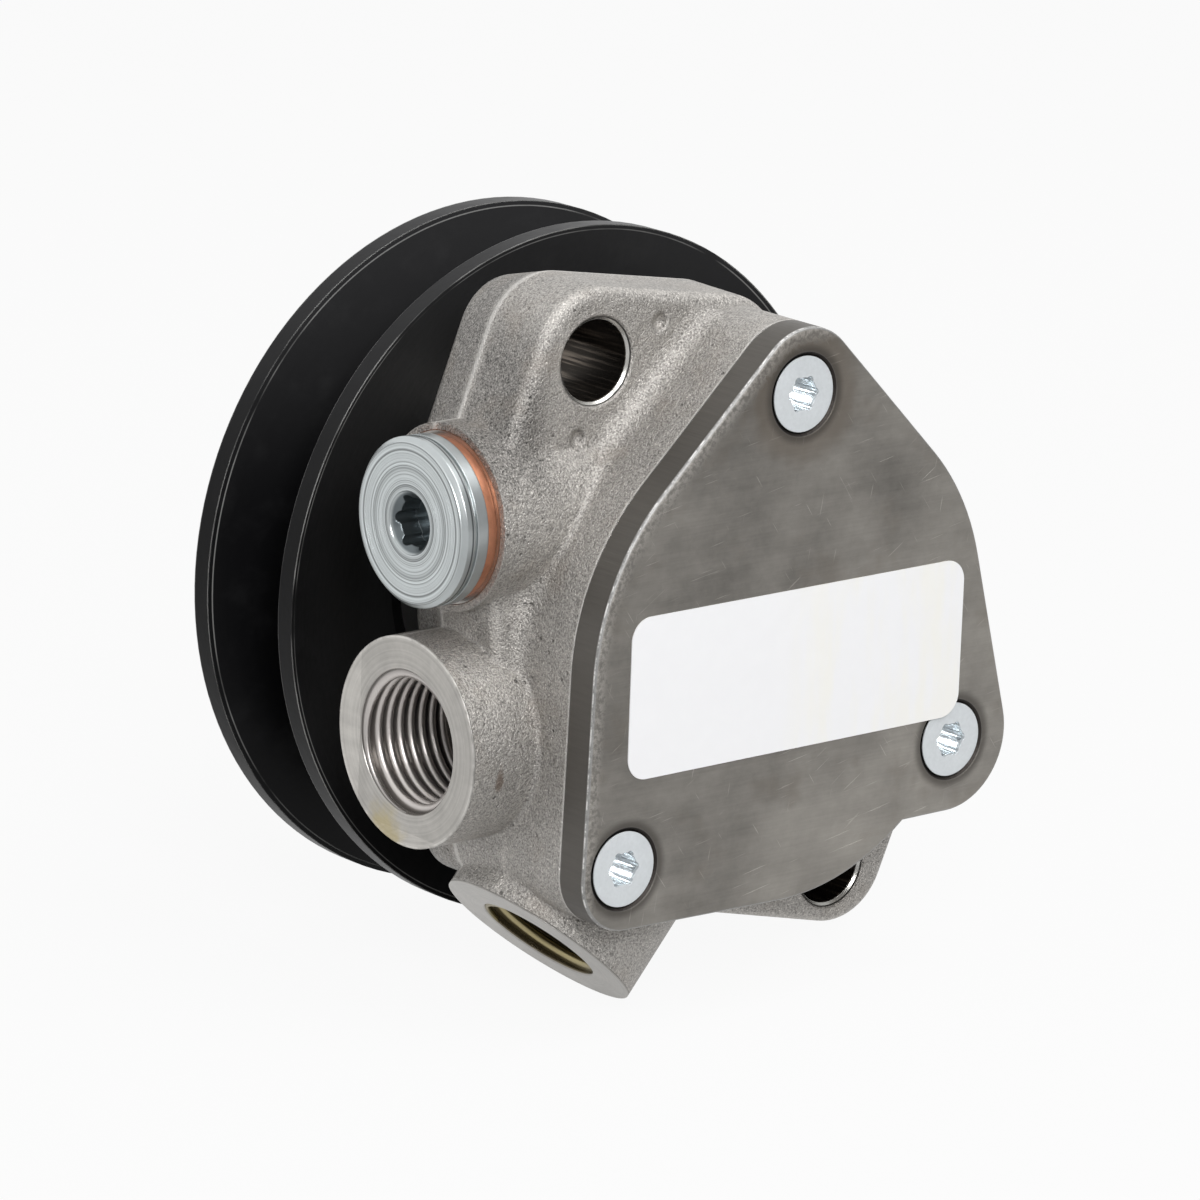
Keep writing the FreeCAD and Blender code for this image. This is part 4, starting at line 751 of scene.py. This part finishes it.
class PUMP_OT_stage(bpy.types.Operator):
    """Set up the camera, the pale floor and the soft studio light"""

    bl_idname = "pump.stage"
    bl_label = "Stage"

    def execute(self, context):
        stage = context.scene.pump_stage
        self.camera(context, stage)
        self.floor(context, stage)
        self.world(context, stage)
        self.lamp(context, "key_lamp", KEY_PLACE, KEY_SIZE, stage.key)
        self.lamp(context, "fill_lamp", FILL_PLACE, FILL_SIZE, stage.fill)
        context.scene.view_settings.view_transform = "Standard"
        return {"FINISHED"}

    def camera(self, context, stage):
        data = bpy.data.cameras.new("camera")
        data.sensor_width = 36.0
        data.lens = stage.lens
        data.clip_start = 0.05
        data.clip_end = 50.0
        item = bpy.data.objects.new("camera", data)
        item.location = stage.place
        item.rotation_euler = stage.turn
        context.scene.collection.objects.link(item)
        context.scene.camera = item

    def floor(self, context, stage):
        """pale floor under the lowest piece: white to the camera, but for the shadow"""
        lowest = CAD_BOX[0].z - 0.0002
        half = stage.floor / 2
        data = bpy.data.meshes.new("floor")
        corners = [(-half, -half, 0), (half, -half, 0), (half, half, 0), (-half, half, 0)]
        data.from_pydata(corners, [], [(0, 1, 2, 3)])
        item = bpy.data.objects.new("floor", data)
        item.location = (0.0, 0.0, lowest)
        context.scene.collection.objects.link(item)
        f = Finish("floor")
        backdrop = f.step(f.y * 0.9 + f.x * 0.4, -100.0, 30.0)
        plain = f.node("ShaderNodeBsdfDiffuse", {}, {"Color": rgb((FLOOR_GREY,) * 3)})
        white = f.node("ShaderNodeEmission", {}, {"Color": WHITE})
        share = f.seen(backdrop) * FLOOR_WHITE
        both = f.node("ShaderNodeMixShader", {}, {0: share, 1: plain, 2: white})
        f.node("ShaderNodeOutputMaterial", {}, {0: both})
        data.materials.append(f.material)

    def world(self, context, stage):
        """even light, and a white backdrop for the camera, and behind the pump for mirrors"""
        world = bpy.data.worlds.new("studio")
        world.use_nodes = True
        sky = Graph(world.node_tree)
        way = sky.node("ShaderNodeTexCoord", {}, {}, "Generated")
        facing = sky.vector("DOT_PRODUCT", way, BACKDROP_WAY, output="Value")
        backdrop = sky.step(facing, -0.20, 0.55)
        light = sky.node("ShaderNodeBackground", {}, {"Color": WHITE, "Strength": stage.surround})
        white = sky.node("ShaderNodeBackground", {}, {"Color": WHITE, "Strength": 1.0})
        both = sky.node("ShaderNodeMixShader", {}, {0: sky.seen(backdrop), 1: light, 2: white})
        sky.node("ShaderNodeOutputWorld", {}, {0: both})
        context.scene.world = world

    def lamp(self, context, name, place, size, power):
        data = bpy.data.lights.new(name, "AREA")
        data.shape = "DISK"
        data.size = size
        data.energy = power
        item = bpy.data.objects.new(name, data)
        item.location = place
        item.rotation_euler = (-Vector(place)).to_track_quat("-Z", "Y").to_euler()
        context.scene.collection.objects.link(item)


class PUMP_OT_housing(bpy.types.Operator):
    """Finish the casting"""

    bl_idname = "pump.housing"
    bl_label = "Housing"

    def execute(self, context):
        dress("pump_housing", casting_finish(context.scene.pump_colours))
        return {"FINISHED"}


class PUMP_OT_cover(bpy.types.Operator):
    """Finish the cover, its label and its screws"""

    bl_idname = "pump.cover"
    bl_label = "Cover"

    def execute(self, context):
        colours = context.scene.pump_colours
        dress("cover_plate", cover_finish(colours))
        dress("blank_label", label_finish(colours))
        dress("cover_screws", zinc_finish(colours, "zinc_heads", True))
        zinc = zinc_finish(colours)
        for name in ("pulley_screws", "pulley_washers"):
            dress(name, zinc)
        return {"FINISHED"}


class PUMP_OT_ports(bpy.types.Operator):
    """Cut the threads of the inlet and the outlet"""

    bl_idname = "pump.ports"
    bl_label = "Port threads"

    def execute(self, context):
        threads = context.scene.pump_threads
        turn = Matrix.Translation([length * MM for length in (INLET_START, *INLET_PLACE)])
        turn = turn @ Matrix.Rotation(math.radians(90), 4, "Y")
        mesh = thread_mesh("inlet_thread", INLET_BORE * MM, INLET_CREST * MM,
                           threads.inlet_length, threads.pitch, threads.steps, turn)
        bright = thread_finish("inlet_thread", (0.62, 0.585, 0.56), "inlet")
        new_piece("inlet_thread", mesh, bright, "housing")

        sine, cosine = math.sin(OUTLET_ANGLE), math.cos(OUTLET_ANGLE)
        centre = Vector((OUTLET_OFFSET * sine - OUTLET_START * cosine, OUTLET_DEPTH,
                         -OUTLET_OFFSET * cosine - OUTLET_START * sine)) * MM
        inwards = Vector((cosine, 0.0, sine))
        turn = Matrix.Translation(centre) @ inwards.to_track_quat("Z", "Y").to_matrix().to_4x4()
        mesh = thread_mesh("outlet_thread", OUTLET_BORE * MM, OUTLET_CREST * MM,
                           threads.outlet_length, threads.pitch, threads.steps, turn)
        olive = thread_finish("outlet_thread", (0.42, 0.36, 0.20), "outlet")
        new_piece("outlet_thread", mesh, olive, "housing")
        return {"FINISHED"}


class PUMP_OT_plug(bpy.types.Operator):
    """Finish the relief valve's plug, washer, piston and spring"""

    bl_idname = "pump.plug"
    bl_label = "Relief valve"

    def execute(self, context):
        colours = context.scene.pump_colours
        dress("relief_plug", plug_finish(colours))
        dress("plug_washer", copper_finish(colours))
        dress("relief_piston", steel_finish("piston_steel", (0.52, 0.52, 0.53), 0.25))
        self.spring(steel_finish("spring_steel", (0.26, 0.26, 0.27), 0.34))
        return {"FINISHED"}

    def spring(self, steel):
        """the relief spring, as a copy of its own that rides on the housing"""
        mesh = NODES["relief_spring"].data.copy()
        mesh.materials.clear()
        item = new_piece("valve_spring", mesh, steel, "housing")
        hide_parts("relief_spring")
        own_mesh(item)


class PUMP_OT_pulley(bpy.types.Operator):
    """Finish the pulley, its hub and the shaft"""

    bl_idname = "pump.pulley"
    bl_label = "Pulley"

    def execute(self, context):
        paint = paint_finish(context.scene.pump_colours)
        for name in ("pulley_near_half", "pulley_far_half"):
            dress(name, paint)
        steel = steel_finish("bright_steel", (0.52, 0.52, 0.52), 0.26)
        for name in ("pulley_hub", "drive_shaft"):
            dress(name, steel)
        return {"FINISHED"}


class PUMP_OT_inside(bpy.types.Operator):
    """Finish the rotors, bearing, bush and seals inside"""

    bl_idname = "pump.inside"
    bl_label = "Inside"

    def execute(self, context):
        sinter = grained_finish("sintered_steel", (0.31, 0.31, 0.32), 0.85, 0.42, 3.0, 0.03)
        for name in ("inner_rotor", "outer_rotor"):
            dress(name, sinter)
        steel = steel_finish("bearing_steel", (0.55, 0.55, 0.56), 0.18)
        for name in ("bearing_outer_race", "bearing_inner_race", "bearing_balls",
                     "rotor_key", "seal_spring"):
            dress(name, steel)
        dress("bearing_cage", grained_finish("brass", (0.58, 0.42, 0.17), 0.85, 0.32, 2.0, 0.02))
        dress("bearing_circlip", steel_finish("circlip_steel", (0.2, 0.2, 0.21), 0.38))
        dress("shaft_bush", grained_finish("bronze", (0.50, 0.31, 0.14), 0.85, 0.4, 3.0, 0.03))
        rubber = grained_finish("seal_rubber", (0.02, 0.02, 0.021), 0.0, 0.55, 2.5, 0.03)
        for name in ("seal_case", "seal_lip", "cover_seal"):
            dress(name, rubber)
        return {"FINISHED"}


class PUMP_PT_panel(bpy.types.Panel):
    """Steps that dress the pump and set its stage"""

    bl_label = "Fuel feed pump"
    bl_idname = "PUMP_PT_panel"
    bl_space_type = "VIEW_3D"
    bl_region_type = "UI"
    bl_category = "Pump"

    def draw(self, context):
        for step in STEPS:
            self.layout.operator(step.bl_idname)
        for group in (context.scene.pump_colours, context.scene.pump_threads,
                      context.scene.pump_stage):
            box = self.layout.box()
            for name in group.bl_rna.properties.keys():
                if name not in ("rna_type", "name"):
                    box.prop(group, name)


GROUPS = (
    ("pump_colours", PUMP_PG_colours),
    ("pump_threads", PUMP_PG_threads),
    ("pump_stage", PUMP_PG_stage),
)
STEPS = (
    PUMP_OT_stage,
    PUMP_OT_housing,
    PUMP_OT_cover,
    PUMP_OT_ports,
    PUMP_OT_plug,
    PUMP_OT_pulley,
    PUMP_OT_inside,
)


def register():
    for name, group in GROUPS:
        bpy.utils.register_class(group)
        setattr(bpy.types.Scene, name, PointerProperty(type=group))
    for step in STEPS:
        bpy.utils.register_class(step)
    bpy.utils.register_class(PUMP_PT_panel)


def unregister():
    bpy.utils.unregister_class(PUMP_PT_panel)
    for step in reversed(STEPS):
        bpy.utils.unregister_class(step)
    for name, group in reversed(GROUPS):
        delattr(bpy.types.Scene, name)
        bpy.utils.unregister_class(group)


def main():
    register()
    bpy.ops.pump.stage()
    bpy.ops.pump.housing()
    bpy.ops.pump.cover()
    bpy.ops.pump.ports()
    bpy.ops.pump.plug()
    bpy.ops.pump.pulley()
    bpy.ops.pump.inside()


if __name__ == "__main__":
    main()
